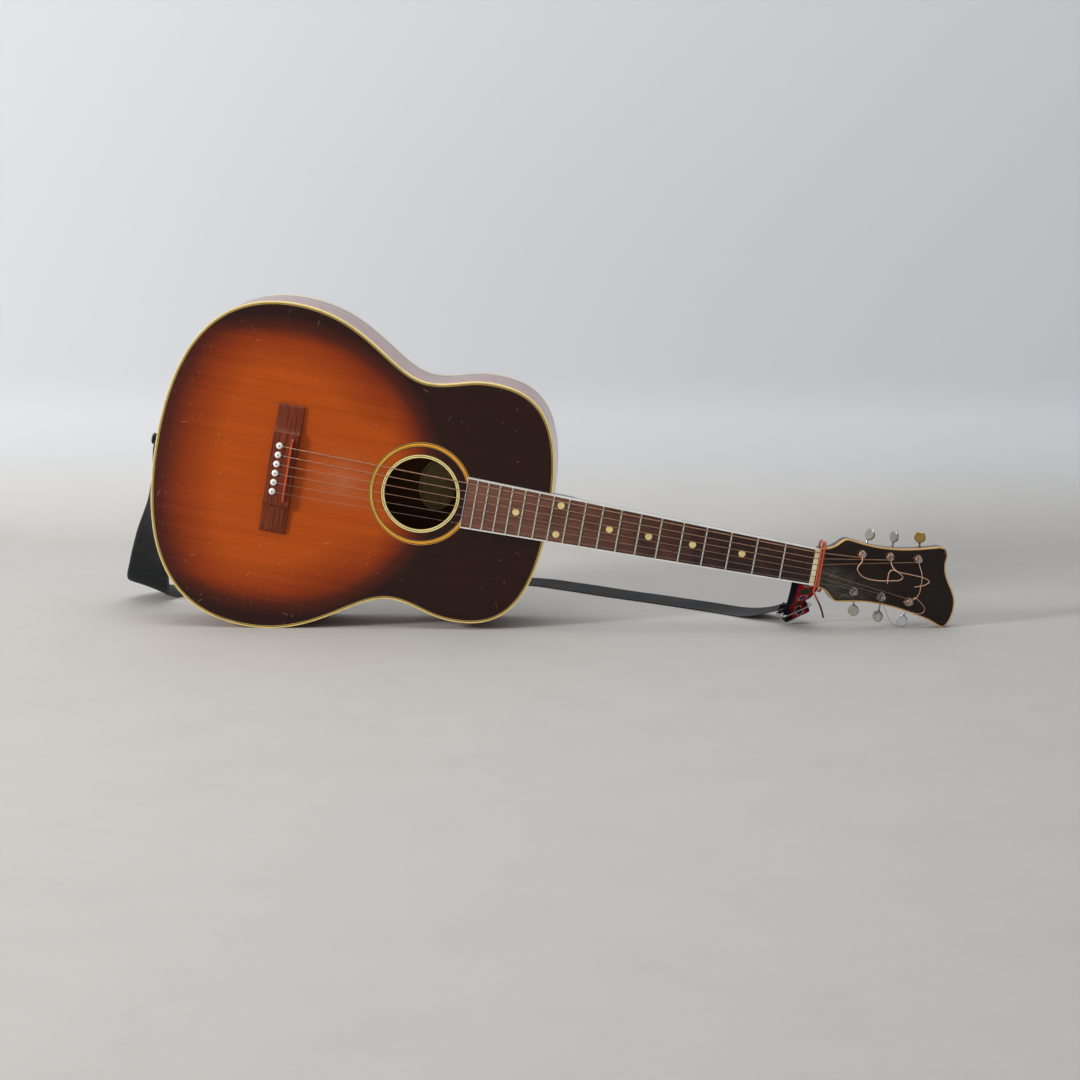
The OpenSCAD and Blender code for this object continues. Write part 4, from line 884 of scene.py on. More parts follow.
# Operators ------------------------------------------------------------------------------------
class GUITAR_OT_stage(MakerOperator, bpy.types.Operator):
    """Makes the floor, the wall, the lamps and the camera"""
    bl_idname = "guitar.stage"
    bl_label = "Stage"

    def execute(self, context):
        look = context.scene.stage_look
        profile = [(-7.0, 0.0)]
        cove = 0.22
        wall_y = 0.66
        for i in range(13):
            angle = math.pi / 2 * i / 12
            profile.append((wall_y - cove + cove * math.sin(angle), cove - cove * math.cos(angle)))
        profile.append((wall_y, 5.0))
        mesh = bpy.data.meshes.new("backdrop")
        corners = [(x, y, z) for y, z in profile for x in (-6.0, 6.0)]
        faces = [(2 * i, 2 * i + 1, 2 * i + 3, 2 * i + 2) for i in range(len(profile) - 1)]
        mesh.from_pydata(corners, [], faces)
        mesh.shade_smooth()
        backdrop = bpy.data.objects.new("backdrop", mesh)
        context.scene.collection.objects.link(backdrop)
        paper = Look("stage floor", Roughness=0.75)
        vector = paper.place(None)
        high = parts(paper.tree, vector)[2]
        wall = mapped(paper.tree, high, 0.0, 0.16)
        marks = noise(paper.tree, vector, 9.0, 7, 0.6)
        spots = noise(paper.tree, vector, 60.0, 5, 0.7)
        stained = ramp(paper.tree, marks, [(0.35, 0.975), (0.5, 1.0), (0.68, 1.015)])
        flecked = ramp(paper.tree, spots, [(0.3, 0.985), (0.6, 1.0)])
        ground = blend(paper.tree, 1.0, blend(paper.tree, 1.0, look.floor, stained, "MULTIPLY"), flecked,
                       "MULTIPLY")
        # Painted shade: floor and wall are darkened towards the right, the wall less, in place of the light
        # falling off.
        along = parts(paper.tree, vector)[0]
        rightward = mapped(paper.tree, along, -0.6, 0.9)
        share = calc(paper.tree, "MULTIPLY_ADD", wall, -0.62, 1.0)
        side = minus(paper.tree, 1.0, times(paper.tree, times(paper.tree, rightward, share), look.falloff))
        painted_falloff_shade = grey_of(paper.tree, side)
        paper.join("Base Color", blend(paper.tree, 1.0, blend(paper.tree, wall, ground, look.wall), painted_falloff_shade,
                                       "MULTIPLY"))
        paper.relief(spots, 0.0004, 0.1)
        # From behind, the wall doesn't stand in the way.
        behind = put(paper.tree, "ShaderNodeNewGeometry").outputs["Backfacing"]
        seen = put(paper.tree, "ShaderNodeLightPath").outputs["Is Camera Ray"]
        clear = put(paper.tree, "ShaderNodeBsdfTransparent").outputs[0]
        one_sided = put(paper.tree, "ShaderNodeMixShader", {0: times(paper.tree, behind, seen),
                                                            1: paper.shader.outputs[0], 2: clear}).outputs[0]
        paper.tree.links.new(one_sided, paper.tree.nodes["Material Output"].inputs["Surface"])
        mesh.materials.append(paper.material)

        world = bpy.data.worlds.new("studio")
        context.scene.world = world
        world.use_nodes = True
        sky = world.node_tree.nodes["Background"]
        sky.inputs["Color"].default_value = (0.96, 0.98, 1.0, 1)
        sky.inputs["Strength"].default_value = look.fill
        for name, place, target, size, power, colour in (
                ("key lamp", (-4.1, -2.7, 1.9), (-0.1, -0.1, 0.15), 0.9, look.key, (1.0, 0.985, 0.96)),
                ("fill lamp", (0.2, -0.9, 3.6), (0.1, 0.1, 0.0), 3.0, look.key * 0.36, (0.98, 0.99, 1.0))):
            lamp = bpy.data.lights.new(name, "AREA")
            lamp.shape = "SQUARE"
            lamp.size = size
            lamp.energy = power
            lamp.color = colour
            holder = bpy.data.objects.new(name, lamp)
            holder.location = place
            holder.rotation_euler = (Vector(target) - Vector(place)).to_track_quat("-Z", "Y").to_euler()
            context.scene.collection.objects.link(holder)

        data = bpy.data.cameras.new("camera")
        data.lens = LENS
        data.sensor_width = 36
        camera = bpy.data.objects.new("camera", data)
        camera.location = CAMERA_AT
        level = math.cos(CAMERA_PITCH)
        ahead = Vector((math.sin(CAMERA_YAW) * level, math.cos(CAMERA_YAW) * level, -math.sin(CAMERA_PITCH)))
        camera.rotation_euler = ahead.to_track_quat("-Z", "Y").to_euler()
        context.scene.collection.objects.link(camera)
        context.scene.camera = camera
        context.scene.view_settings.view_transform = "Standard"
        return {"FINISHED"}


class GUITAR_OT_cord(MakerOperator, bpy.types.Operator):
    """Makes the cord that ties the strap to the neck"""
    bl_idname = "guitar.cord"
    bl_label = "Tie cord"

    def execute(self, context):
        colours = context.scene.strap_look
        look = Look("twisted cord", Roughness=0.85, Sheen_Weight=0.3)
        place = look.value("run", "Vector")
        part = parts(look.tree, place)
        lay = calc(look.tree, "SINE", plus(look.tree, times(look.tree, part[0], 2600.0),
                                           times(look.tree, part[1], 1667.0)))
        height = plus(look.tree, times(look.tree, lay, 0.5), 0.5)
        dyed = mapped(look.tree, part[0], 0.018, 0.03)
        base = blend(look.tree, dyed, colours.cord_end, colours.cord)
        fuzz = noise(look.tree, look.place(), 900.0)
        # Painted shade darkens the grooves of the twist, with a fuzzy tone mixed in.
        base = blend(look.tree, 1.0, base, ramp(look.tree, plus(look.tree, times(look.tree, height, 0.6),
                                                                times(look.tree, fuzz, 0.4)),
                                                [(0.1, 0.5), (0.7, 1.1)]), "MULTIPLY")
        look.join("Base Color", base)
        look.relief(height, 0.0005, 0.8)
        route = smooth_route(TIE_ROUTE, 6)
        shape = Shape()
        length = shape.tube(route, TIE_D / 2, 12)
        piece = shape.finish("twisted_cord", look.material, "cord_fibre", replaced=("tie_cord",))
        return {"FINISHED"}


def distance_to(outline, points):
    """How far each point lies from the outline."""
    line = np.array(outline)
    step = np.roll(line, -1, axis=0) - line
    length = (step ** 2).sum(1)
    best = np.full(len(points), 1e9)
    for start, along, square in zip(line, step, length):
        if square < 1e-9:
            continue
        t = np.clip(((points - start) @ along) / square, 0, 1)
        best = np.minimum(best, np.hypot(*(points - start - t[:, None] * along).T))
    return best


class GUITAR_OT_top(MakerOperator, bpy.types.Operator):
    """Makes the sunburst top with its purfling and the rings round the sound hole"""
    bl_idname = "guitar.top"
    bl_label = "Top"

    def execute(self, context):
        colours = context.scene.top_look
        trim = context.scene.trim_look
        outline = body_outline()
        edge = inset(outline, SIDE_T + PURFLING_W)
        shape = Shape()
        directions = [(p, math.atan2(p[1], p[0] - HOLE_X)) for p in edge]
        hole_edge = HOLE_R + HOLE_RING_W
        heart_x = BRIDGE_X - 29

        def ring_at(radius):
            return [(HOLE_X + radius * math.cos(a), radius * math.sin(a)) for _, a in directions]

        def rows(first, last, count):
            return [[between(a, b, i / count) for a, b in zip(first, last)] for i in range(count + 1)]

        top_rows = [rows(ring_at(hole_edge), ring_at(ROSETTE_IN_R), 3),
                    rows(ring_at(ROSETTE_OUT_R), edge, 44)]
        flat = np.array([p for part in top_rows for row in part for p in row])
        gap = distance_to(outline, flat)
        from_rim = (gap + 16.4) * MM / colours.fade
        reach = np.hypot(flat[:, 0] - heart_x, 1.15 * flat[:, 1])
        from_heart = (colours.heart_reach - reach * MM) / 0.0592
        glow = iter(np.clip(np.minimum(from_rim, from_heart), 0, 1))
        for part in top_rows:
            shape.field(part, 0, glow)
        shape.field((ring_at(hole_edge), edge), -TOP_T)
        look = Look("sunburst lacquer", Specular_IOR_Level=0.16)
        place = look.place()
        tree = look.tree
        drift = noise(tree, place, 14.0, 4)
        level = plus(tree, look.value("shade"), times(tree, minus(tree, drift, 0.5), 0.1), clamp=True)
        burst = ramp(tree, level, [(0.0, colours.rim), (0.3, colours.rust), (0.55, colours.ember),
                                   (1.0, colours.heart)])
        out = grain(tree, place, burst, 5.0, 520.0, 0.14)
        bands = grain(tree, place, out["Color"], 2.5, 90.0, 0.17)
        part = parts(tree, place)
        along = minus(tree, 1.0, calc(tree, "ABSOLUTE", calc(tree, "DIVIDE", plus(tree, part[0], 0.568),
                                                             0.05)), clamp=True)
        across = minus(tree, 1.0, calc(tree, "ABSOLUTE", calc(tree, "DIVIDE", part[1], 0.042)), clamp=True)
        cloud = noise(tree, stretch(tree, place, 40.0, 120.0, 1.0), 1.0, 5, 0.7)
        haze = times(tree, times(tree, along, across), times(tree, cloud, colours.haze * 2.4), clamp=True)
        hazed = blend(tree, haze, bands["Color"], srgb(196, 128, 92))
        hurt = mapped(tree, part[0], -0.45, -0.7, 0.08, 0.28)
        marks = dings(tree, place, 115.0, hurt)
        fine = dings(tree, place, 260.0, times(tree, hurt, 0.9))
        knocked = worn_to(tree, hazed, marks["Knocks"], 0.6, srgb(220, 172, 138))
        knocked = worn_to(tree, knocked, fine["Knocks"], 0.5, srgb(206, 146, 110))
        knocked = worn_to(tree, knocked, fine["Scratches"], 0.22, srgb(198, 136, 100))
        knocked = worn_to(tree, knocked, marks["Scratches"], 0.42, srgb(206, 158, 132))
        look.join("Base Color", knocked)
        dull = plus(tree, times(tree, drift, 0.14), 0.24)
        look.join("Roughness", plus(tree, dull, times(tree, plus(tree, haze, marks["Knocks"]), 0.3),
                                    clamp=True))
        look.relief(minus(tree, times(tree, out["Height"], 0.4), marks["Knocks"]), 0.0003, 0.3)
        shape.finish("soundboard_top", look.material, "top_wood", replaced=("soundboard",))

        purfling = Shape()
        purfling.sweep(outline, [(SIDE_T, -1.0), (SIDE_T, 0.0), (SIDE_T + 0.55, 0.02), (SIDE_T + 1.1, 0.02),
                                 (SIDE_T + 1.55, 0.02), (SIDE_T + PURFLING_W, 0.0),
                                 (SIDE_T + PURFLING_W, -1.0)])
        lines = Look("purfling lines", Roughness=0.35)
        cream = trim.binding
        dark = trim.purfling
        striped = ramp(
            lines.tree,
            calc(lines.tree, "DIVIDE", minus(lines.tree, lines.value("shade"), SIDE_T), PURFLING_W),
            [(0.0, srgb(112, 78, 30)), (0.24, srgb(216, 190, 112)), (0.42, srgb(96, 60, 30)), (0.55, dark)],
            "CONSTANT")
        lines.join("Base Color", lines.aged(striped, srgb(60, 38, 24), 0.35)["Color"])
        purfling.finish("purfling_lines", lines.material, "black_plastic", replaced=("purfling",))

        for name, node, radius, stops in (
                ("rosette rings", "rosette", (ROSETTE_IN_R, ROSETTE_OUT_R),
                 [(0.0, dark), (0.12, srgb(206, 158, 74)), (0.2, dark), (0.3, trim.rosette), (0.66, dark),
                  (0.8, srgb(206, 158, 74)), (0.9, dark)]),
                ("hole ring", "sound_hole_ring", (HOLE_R, HOLE_R + HOLE_RING_W),
                 [(0.0, cream), (0.34, dark), (0.5, cream), (0.84, dark)])):
            ringed = Look(name, Roughness=0.35)
            vector = ringed.place()
            flat_place = put(ringed.tree, "ShaderNodeVectorMath", {0: vector, 1: (-HOLE_X * MM, 0, 0)},
                             operation="ADD").outputs[0]
            flat_place = stretch(ringed.tree, flat_place, 1, 1, 0)
            reach = put(ringed.tree, "ShaderNodeVectorMath", {0: flat_place},
                        operation="LENGTH").outputs["Value"]
            share = mapped(ringed.tree, reach, radius[0] * MM, radius[1] * MM)
            shades = ramp(ringed.tree, share, stops, "CONSTANT")
            ringed.join("Base Color", ringed.aged(shades, srgb(70, 40, 20), 0.25)["Color"])
            paint(node, ringed.material)
        return {"FINISHED"}


class GUITAR_OT_shell(MakerOperator, bpy.types.Operator):
    """Makes the sides, the back and both bindings"""
    bl_idname = "guitar.shell"
    bl_label = "Shell"

    def execute(self, context):
        woods = context.scene.wood_look
        outline = body_outline()
        middle = len(outline) // 2

        def side_look(name):
            look = Look(name, Coat_Weight=0.65, Coat_Roughness=0.06)
            tree = look.tree
            run = look.value("run", "Vector")
            place = look.place()
            part = parts(tree, place)
            depth = plus(tree, calc(tree, "DIVIDE", part[2], BODY_D * MM / 2), 1.0)
            rim = calc(tree, "POWER", calc(tree, "ABSOLUTE", depth), 3.0)
            drift = noise(tree, place, 16.0, 4)
            shade = plus(tree, times(tree, rim, calc(tree, "LESS_THAN", depth, 0.0)),
                         minus(tree, drift, 0.55), clamp=True)
            base = blend(tree, shade, woods.side, woods.side_dark)
            # Painted highlight: the sides turn orange-red towards their top edge.
            painted_edge_highlight = times(tree, rim, calc(tree, "GREATER_THAN", depth, 0.0), clamp=True)
            base = worn_to(tree, base, painted_edge_highlight, 0.9, srgb(186, 66, 30))
            out = grain(tree, run, base, 7.0, 260.0, 0.2)
            marks = dings(tree, run, 80.0, 0.12)
            worn = worn_to(tree, out["Color"], marks["Knocks"], 0.5, srgb(150, 96, 66))
            worn = worn_to(tree, worn, marks["Scratches"], 0.35, srgb(150, 100, 76))
            look.join("Base Color", look.settle_dust(worn, place, 0.05))
            look.join("Roughness", plus(tree, times(tree, drift, 0.15), 0.2))
            look.relief(minus(tree, times(tree, out["Height"], 0.3), marks["Knocks"]), 0.0003, 0.25)
            return look.material

        stained = side_look("stained sides")
        profile = [(0, -BINDING_H)]
        profile += [(0, -BINDING_H - (BODY_D - 2 * BINDING_H) * i / 10) for i in range(1, 11)]
        profile += [(SIDE_T, -BODY_D + BINDING_H), (SIDE_T, -BINDING_H)]
        for name, node, path in (("bass_side", "side_bass", outline[:middle + 1]),
                                 ("treble_side", "side_treble", outline[middle:] + outline[:1])):
            shape = Shape()
            shape.sweep(path, profile, closed=False)
            shape.finish(name, stained, "body_wood", replaced=(node,))

        back = Shape()
        edge = inset(outline, SIDE_T)
        count = len(edge)
        levels = 30
        rings = [[between(edge[i], edge[-i % count],
                          j / levels) for j in range(levels + 1)] for i in range(count // 2 + 1)]
        gap = distance_to(outline, np.array([p for ring in rings for p in ring]))
        back.field(rings, -BODY_D, iter(np.clip((gap - 4) / 60, 0, 1)), False)
        back.field([(ring[0], ring[-1]) for ring in rings], BACK_T - BODY_D, None, False)
        look = Look("stained back", Coat_Roughness=0.1)
        tree = look.tree
        place = look.place()
        part = parts(tree, place)
        folded = put(tree, "ShaderNodeCombineXYZ", {0: part[0], 1: calc(tree, "ABSOLUTE", part[1]),
                                                    2: 0.0}).outputs[0]
        drift = noise(tree, place, 12.0, 4)
        level = plus(tree, look.value("shade"), minus(tree, drift, 0.5), clamp=True)
        base = blend(tree, level, woods.side_dark, woods.side)
        seam = calc(tree, "LESS_THAN", calc(tree, "ABSOLUTE", part[1]), 0.0011)
        inside = calc(tree, "GREATER_THAN", part[2], -BODY_D * MM + 0.0015)
        # The back's inner face takes the inside colour, darkened partly as painted shade.
        base = blend(tree, inside, base, woods.inner)
        out = grain(tree, folded, base, 5.0, 190.0, 0.25)
        marks = dings(tree, place, 60.0, 0.1)
        worn = worn_to(tree, out["Color"], marks["Knocks"], 0.5, srgb(150, 96, 66))
        worn = worn_to(tree, worn, marks["Scratches"], 0.4, srgb(150, 104, 80))
        worn = worn_to(tree, worn, seam, 0.7, srgb(28, 12, 10))
        look.join("Base Color", worn)
        look.join("Roughness", plus(tree, calc(tree, "MULTIPLY_ADD", drift, 0.2, 0.2),
                                    times(tree, inside, 0.5), clamp=True))
        look.join("Coat Weight", calc(tree, "MULTIPLY_ADD", inside, -0.3, 0.3))
        look.join("Specular IOR Level", calc(tree, "MULTIPLY_ADD", inside, -0.27, 0.3))
        look.relief(minus(tree, times(tree, out["Height"], 0.3), marks["Knocks"]), 0.0003, 0.25)
        back.finish("back_plate", look.material, "body_wood", replaced=("back",))

        binding = Look("aged binding", Coat_Weight=0.15)
        # Aged cream with a painted highlight: bright on the outer rounded edge, where the lacquer catches
        # the light, and darker gold and olive on the inner top face.
        binding_bands_and_painted_highlight = ramp(binding.tree, calc(binding.tree, "DIVIDE", binding.value("shade"), SIDE_T),
                      [(0.0, context.scene.trim_look.binding), (0.5, srgb(214, 182, 106)),
                       (0.74, srgb(134, 104, 54))], "CONSTANT")
        aged = binding.aged(binding_bands_and_painted_highlight, srgb(120, 74, 36), 0.3, 0.15)
        binding.join("Base Color", binding.settle_dust(aged["Color"], binding.place(), 0.1))
        binding.join("Roughness", aged["Roughness"])
        for name, node, inner, outer, way in (("top_binding_strip", "top_binding", -BINDING_H, 0.0, -1),
                                              ("back_binding_strip", "back_binding", BINDING_H - BODY_D,
                                               -BODY_D, 1)):
            shape = Shape()
            corner = [(d, outer + way * z) for d, z in rounded(0.7)[::-1]]
            shape.sweep(outline, [(SIDE_T, inner), (0, inner), *corner, (SIDE_T, outer)])
            shape.finish(name, binding.material, "cream_plastic", replaced=(node,))
        return {"FINISHED"}


class GUITAR_OT_inside(MakerOperator, bpy.types.Operator):
    """Finishes what shows through the sound hole"""
    bl_idname = "guitar.inside"
    bl_label = "Inside"

    def execute(self, context):
        # The inner wood's colour is partly painted shade for the dim inside of the body.
        inner = wood_look("bare inner wood", context.scene.wood_look.inner, 8.0, 300.0, 0.8, 0.0, 0.12)
        for node in ("linings", "neck_block", "tail_block", "top_braces", "back_braces", "bridge_plate"):
            paint(node, inner)
        look = Look("label paper", Roughness=0.8)
        place = look.place()
        stain = noise(look.tree, place, 60.0, 6, 0.65)
        base = ramp(look.tree, stain, [(0.3, srgb(152, 128, 84)), (0.7, srgb(186, 160, 112))])
        shifted = put(look.tree, "ShaderNodeVectorMath", {0: place, 1: (0.46, 0, 0)},
                      operation="ADD").outputs[0]
        oval = put(look.tree, "ShaderNodeVectorMath",
                   {0: stretch(look.tree, shifted, 1 / 0.023, 1 / 0.032, 0)},
                   operation="LENGTH").outputs["Value"]
        line = calc(look.tree, "COMPARE", oval, 0.86, 0.02)
        look.join("Base Color", blend(look.tree, line, base, srgb(110, 94, 64)))
        look.relief(stain, 0.0002, 0.3)
        paint("label", look.material)
        return {"FINISHED"}


class GUITAR_OT_bridge(MakerOperator, bpy.types.Operator):
    """Makes the bridge and its pins, and finishes the saddle and the end pin"""
    bl_idname = "guitar.bridge"
    bl_label = "Bridge"

    def execute(self, context):
        def height(y):
            beyond = abs(y) - BRIDGE_MID_L / 2
            if beyond <= 0:
                return BRIDGE_H
            if beyond < SCOOP_L:
                angle = math.acos(1 - beyond / SCOOP_L)
                return WING_H + (BRIDGE_H - WING_H) * (1 - math.sin(angle))
            return WING_H - 0.4 * ((beyond - SCOOP_L) / (BRIDGE_L / 2 - BRIDGE_MID_L / 2 - SCOOP_L)) ** 2

        stops = [0, 0.4, 1.2, 2.6]
        half = BRIDGE_L / 2
        places = [-half + s for s in stops]
        inner = [-BRIDGE_MID_L / 2 - SCOOP_L + SCOOP_L * (1 - math.cos(math.pi / 2 * i / 12)) for i in range(
            13)]
        places += [-62.0] + inner + [-30.0, -15.0]
        places = sorted(set(places + [-p for p in places] + [0.0]))
        shape = Shape()
        rings = []
        for y in places:
            end = half - abs(y)
            lower = 1.2 * max(0.0, 1 - end / 2.6) ** 2
            tall = height(y) - lower
            round_r = min(1.0, tall / 3)
            front, back = BRIDGE_X, BRIDGE_X - BRIDGE_W
            trim_in = 0.6 * max(0.0, 1 - end / 1.2) ** 2
            ring = [(front - trim_in, 0)]
            for i in range(5):
                a = math.pi / 2 * i / 4
                ring.append((front - trim_in - round_r + round_r * math.cos(a),
                             tall - round_r + round_r * math.sin(a)))
            for i in range(5):
                a = math.pi / 2 * (1 + i / 4)
                ring.append((back + trim_in + round_r + round_r * math.cos(a),
                             tall - round_r + round_r * math.sin(a)))
            ring.append((back + trim_in, 0))
            rings.append([shape.add((x, y, z), (y * MM, x * MM), z) for x, z in ring])
        shape.loft(rings)
        look = Look("bridge rosewood", Specular_IOR_Level=0.16)
        tree = look.tree
        place = look.place()
        turned = put(tree, "ShaderNodeMapping", {"Vector": place, "Rotation": (0, 0,
            math.pi / 2)}).outputs[0]
        out = grain(tree, turned, context.scene.wood_look.bridge, 14.0, 480.0, 0.62)
        marks = dings(tree, place, 140.0, 0.16)
        worn = worn_to(tree, out["Color"], marks["Knocks"], 0.6, srgb(160, 100, 76))
        look.join("Base Color", look.settle_dust(worn, place, 0.3, srgb(168, 122, 98)))
        look.join("Roughness", plus(tree, times(tree, out["Height"], 0.3), 0.3))
        look.relief(out["Height"], 0.0004, 0.5)
        shape.finish("bridge_block", look.material, "bridge_wood", replaced=("bridge",))

        pins = Shape()
        top = BRIDGE_H + 0.3
        for k in range(6):
            y = (2.5 - k) * PIN_PITCH
            lean = random.Random(k).uniform(-0.25, 0.35)
            pins.lathe([(0, -12), (1.9, -12), (2.45, 0), (2.45, top), (3.9, top), (4.0, top + 0.5),
                        *[(4 * math.cos(a), top + 0.8 + lean + 2.2 * math.sin(a)) for a in (0.1, 0.35, 0.6,
                            0.85, 1.1, 1.3)], (0.75, top + 3 + lean), (0.4, top + 2.9 + lean),
                        (0, top + 2.9 + lean)], (PIN_X, y))
        look = Look("pin plastic", Coat_Weight=0.4)
        aged = look.aged(context.scene.trim_look.pin, srgb(90, 70, 50), 0.25)
        eye = calc(look.tree, "LESS_THAN", look.value("shade"), 0.95)
        look.join("Base Color", blend(look.tree, eye, aged["Color"], srgb(30, 26, 24)))
        look.join("Roughness", aged["Roughness"])
        pins.finish("bridge_pin_set", look.material, "pin_plastic", replaced=("bridge_pins",))
        paint("saddle", plastic_look("worn red saddle", context.scene.trim_look.saddle, 0.45,
                                     srgb(60, 22, 14)))
        paint("end_pin", plastic_look("black end pin", srgb(26, 25, 25), 0.3, srgb(96, 88, 78)))
        return {"FINISHED"}


def ease(t):
    """Rises from 0 to 1 with a level start and end."""
    return t * t * (3 - 2 * t)


class GUITAR_OT_neck(MakerOperator, bpy.types.Operator):
    """Makes the neck with its heel and the head behind the black face"""
    bl_idname = "guitar.neck"
    bl_label = "Neck"

    def execute(self, context):
        shape = Shape()
        sides = 28

        def section(x, width, high, low, p, q, foot):
            ring = []
            for j in range(sides + 1):
                a = math.pi * j / sides
                c, s = math.cos(a), math.sin(a)
                down = abs(s) ** q
                half = width / 2 + (foot / 2 - width / 2) * down ** 1.5
                y = math.copysign(abs(c) ** p, c) * half
                shoulder = min(3.0, (high - low) / 3)
                z = high - shoulder * min(1, j / 2, (sides - j) / 2) - (high - low - shoulder) * down
                ring.append(shape.add((x, y, z), (x * MM, y * MM), z))
            return ring

        rings = []
        heel_start = BODY_X + 48
        for i in range(9):
            t = i / 8
            x = 19 - 19.2 * t
            k = 1 - t
            face = FACE_Z - (x - NUT_T) * math.tan(HEAD_TILT)
            high = 0.0 if x <= 4.5 else face - 3.4
            low = -19 * ease(t) + (face - 14.4) * (1 - ease(t))
            width = BOARD_NUT_W + 2.0 * k
            rings.append(section(x, width, high, low, 1 - 0.55 * k, 1 - 0.6 * k, width))
        for i in range(1, 19):
            t = i / 18
            x = -0.2 + (heel_start + 0.2) * t
            rings.append(section(x, board_w(x), 0, -(19 + 3 * t), 1, 1, board_w(x)))
        for i in range(1, 15):
            x = heel_start - 48 * i / 14
            s = min(1.0, (heel_start - x) / 25)
            k = ease(s)
            deep = 22 + (BODY_D - BINDING_H - 3 - 22) * s ** 2.4
            rings.append(section(x, board_w(x), 0, -deep, 1 - 0.55 * k, 1 - 0.1 * k,
                                 board_w(x) + (31 - board_w(x)) * k))
        shape.loft(rings)
        dark = wood_look("dark neck", context.scene.wood_look.neck, 7.0, 260.0, 0.3, 0.15, 0.1)
        shape.finish("neck_shaft", dark, "neck_wood", replaced=("neck",))

        head = Shape()
        outline = head_outline()
        levels = [(1.4, -HEAD_T), (0.4, -HEAD_T + 0.4), (0, -HEAD_T + 1.4), (0, -HEAD_BINDING_H),
                  (HEAD_BINDING_T, -HEAD_BINDING_H), (HEAD_BINDING_T, -VENEER_T)]
        rings = []
        for d, h in levels:
            layer = inset(outline, d) if d else outline
            rings.append([head.add((*p, h), (p[0] * MM, p[1] * MM), h) for p in layer])
        head.loft(rings)
        look = Look("head wood", Roughness=0.35, Coat_Weight=0.1)
        place = look.place(HEAD)
        part = parts(look.tree, place)
        bare = calc(look.tree, "GREATER_THAN", part[2], -0.00302)
        base = blend(look.tree, bare, context.scene.wood_look.neck, srgb(176, 112, 84))
        out = grain(look.tree, place, base, 8.0, 260.0, 0.25)
        look.join("Base Color", look.settle_dust(out["Color"], place, 0.2))
        look.relief(out["Height"], 0.0003, 0.3)
        head.finish("head_block", look.material, "neck_wood", space=HEAD)
        paint("heel_cap", plastic_look("heel cap cream", context.scene.trim_look.binding, 0.3))
        return {"FINISHED"}


class GUITAR_OT_head(MakerOperator, bpy.types.Operator):
    """Makes the head's black face and its chipped edging"""
    bl_idname = "guitar.head"
    bl_label = "Head"

    def execute(self, context):
        trim = context.scene.trim_look
        outline = head_outline()
        arc, rest = bitten(inset(outline, HEAD_BINDING_T), (CHIP[0], CHIP[1], CHIP[2] + 0.4), 3)
        face = Shape()
        face.prism(rest + arc, -VENEER_T, 0.0, 0.25)
        look = Look("black head face", Specular_IOR_Level=0.22)
        tree = look.tree
        place = look.place(HEAD)
        part = parts(tree, place)
        scuffs = noise(tree, stretch(tree, place, 1.0, 2.2, 1.0), 60.0, 7, 0.72)
        near_nut = mapped(tree, part[0], 0.1, 0.02)
        low = mapped(tree, plus(tree, part[1], times(tree, part[0], 0.3)), 0.018, 0.0)
        rubbed = calc(tree, "MULTIPLY_ADD", near_nut, low, 0.06)
        streaks = noise(tree, stretch(tree, put(tree, "ShaderNodeMapping",
                                                {"Vector": place, "Rotation": (0, 0, 0.25)}).outputs[0],
                                      14.0, 420.0, 1.0), 1.0, 4)
        grey = times(tree, rubbed, plus(tree, ramp(tree, scuffs, [(0.4, 0.0), (0.66, 0.7)]),
                                        ramp(tree, streaks, [(0.35, 0.0), (0.7, 0.7)])), clamp=True)
        base = blend(tree, times(tree, grey, 0.7), trim.head_face, srgb(112, 106, 96))
        marks = dings(tree, place, 150.0, 0.06)
        base = worn_to(tree, base, marks["Knocks"], 0.6, srgb(150, 110, 84))
        base = worn_to(tree, base, marks["Scratches"], 0.5, srgb(120, 104, 88))
        look.join("Base Color", base)
        look.join("Roughness", plus(tree, times(tree, grey, 0.3), 0.3))
        look.relief(minus(tree, times(tree, scuffs, 0.3), marks["Knocks"]), 0.0002, 0.4)
        face.finish("head_face", look.material, "head_face", space=HEAD, replaced=("head_veneer",))

        edging = Shape()
        corner = [(d, -z) for d, z in rounded(0.5)]
        profile = [(HEAD_BINDING_T, -HEAD_BINDING_H), (0, -HEAD_BINDING_H), *corner, (HEAD_BINDING_T, 0.0)]
        _, kept = bitten(outline, CHIP, 5)
        first = [i for i, p in enumerate(kept) if p[0] < 0.6]
        breaks = [kept[:first[0]], kept[first[-1] + 1:]] if first else [kept]
        for path in breaks:
            if len(path) > 2:
                edging.sweep(path, profile, closed=False)
        edging.finish("head_edging", plastic_look("orange cream edging", trim.head_edge, 0.4,
                                                  srgb(110, 56, 26)), "head_edge", space=HEAD,
                      replaced=("head_binding",))
        return {"FINISHED"}


class GUITAR_OT_fretboard(MakerOperator, bpy.types.Operator):
    """Finishes the fretboard, its binding, frets, markers and nut"""
    bl_idname = "guitar.fretboard"
    bl_label = "Fretboard"

    def execute(self, context):
        trim = context.scene.trim_look
        look = Look("fretboard rosewood")
        tree = look.tree
        place = look.place()
        part = parts(tree, place)
        worn = mapped(tree, part[0], -0.1, -0.43)
        drift = noise(tree, place, 40.0, 5)
        worn = plus(tree, worn, calc(tree, "MULTIPLY_ADD", drift, 0.8, -0.44), clamp=True)
        base = blend(tree, worn, context.scene.wood_look.board, context.scene.wood_look.board_worn)
        out = grain(tree, place, base, 16.0, 420.0, 0.38)
        look.join("Base Color", out["Color"])
        look.join("Roughness", plus(tree, times(tree, out["Height"], 0.3), 0.35))
        look.relief(out["Height"], 0.0004, 0.5)
        paint("fretboard", look.material)
        paint("fretboard_binding", plastic_look("white board binding", trim.board_edge, 0.3))
        paint("fret_dots", plastic_look("dot shell", trim.dot, 0.35, srgb(120, 84, 36)))
        paint("nut", plastic_look("worn bone nut", trim.bone, 0.45, srgb(110, 84, 52)))
        paint("frets", metal_look("fret wire", context.scene.metal_look.fret, 0.2))
        return {"FINISHED"}


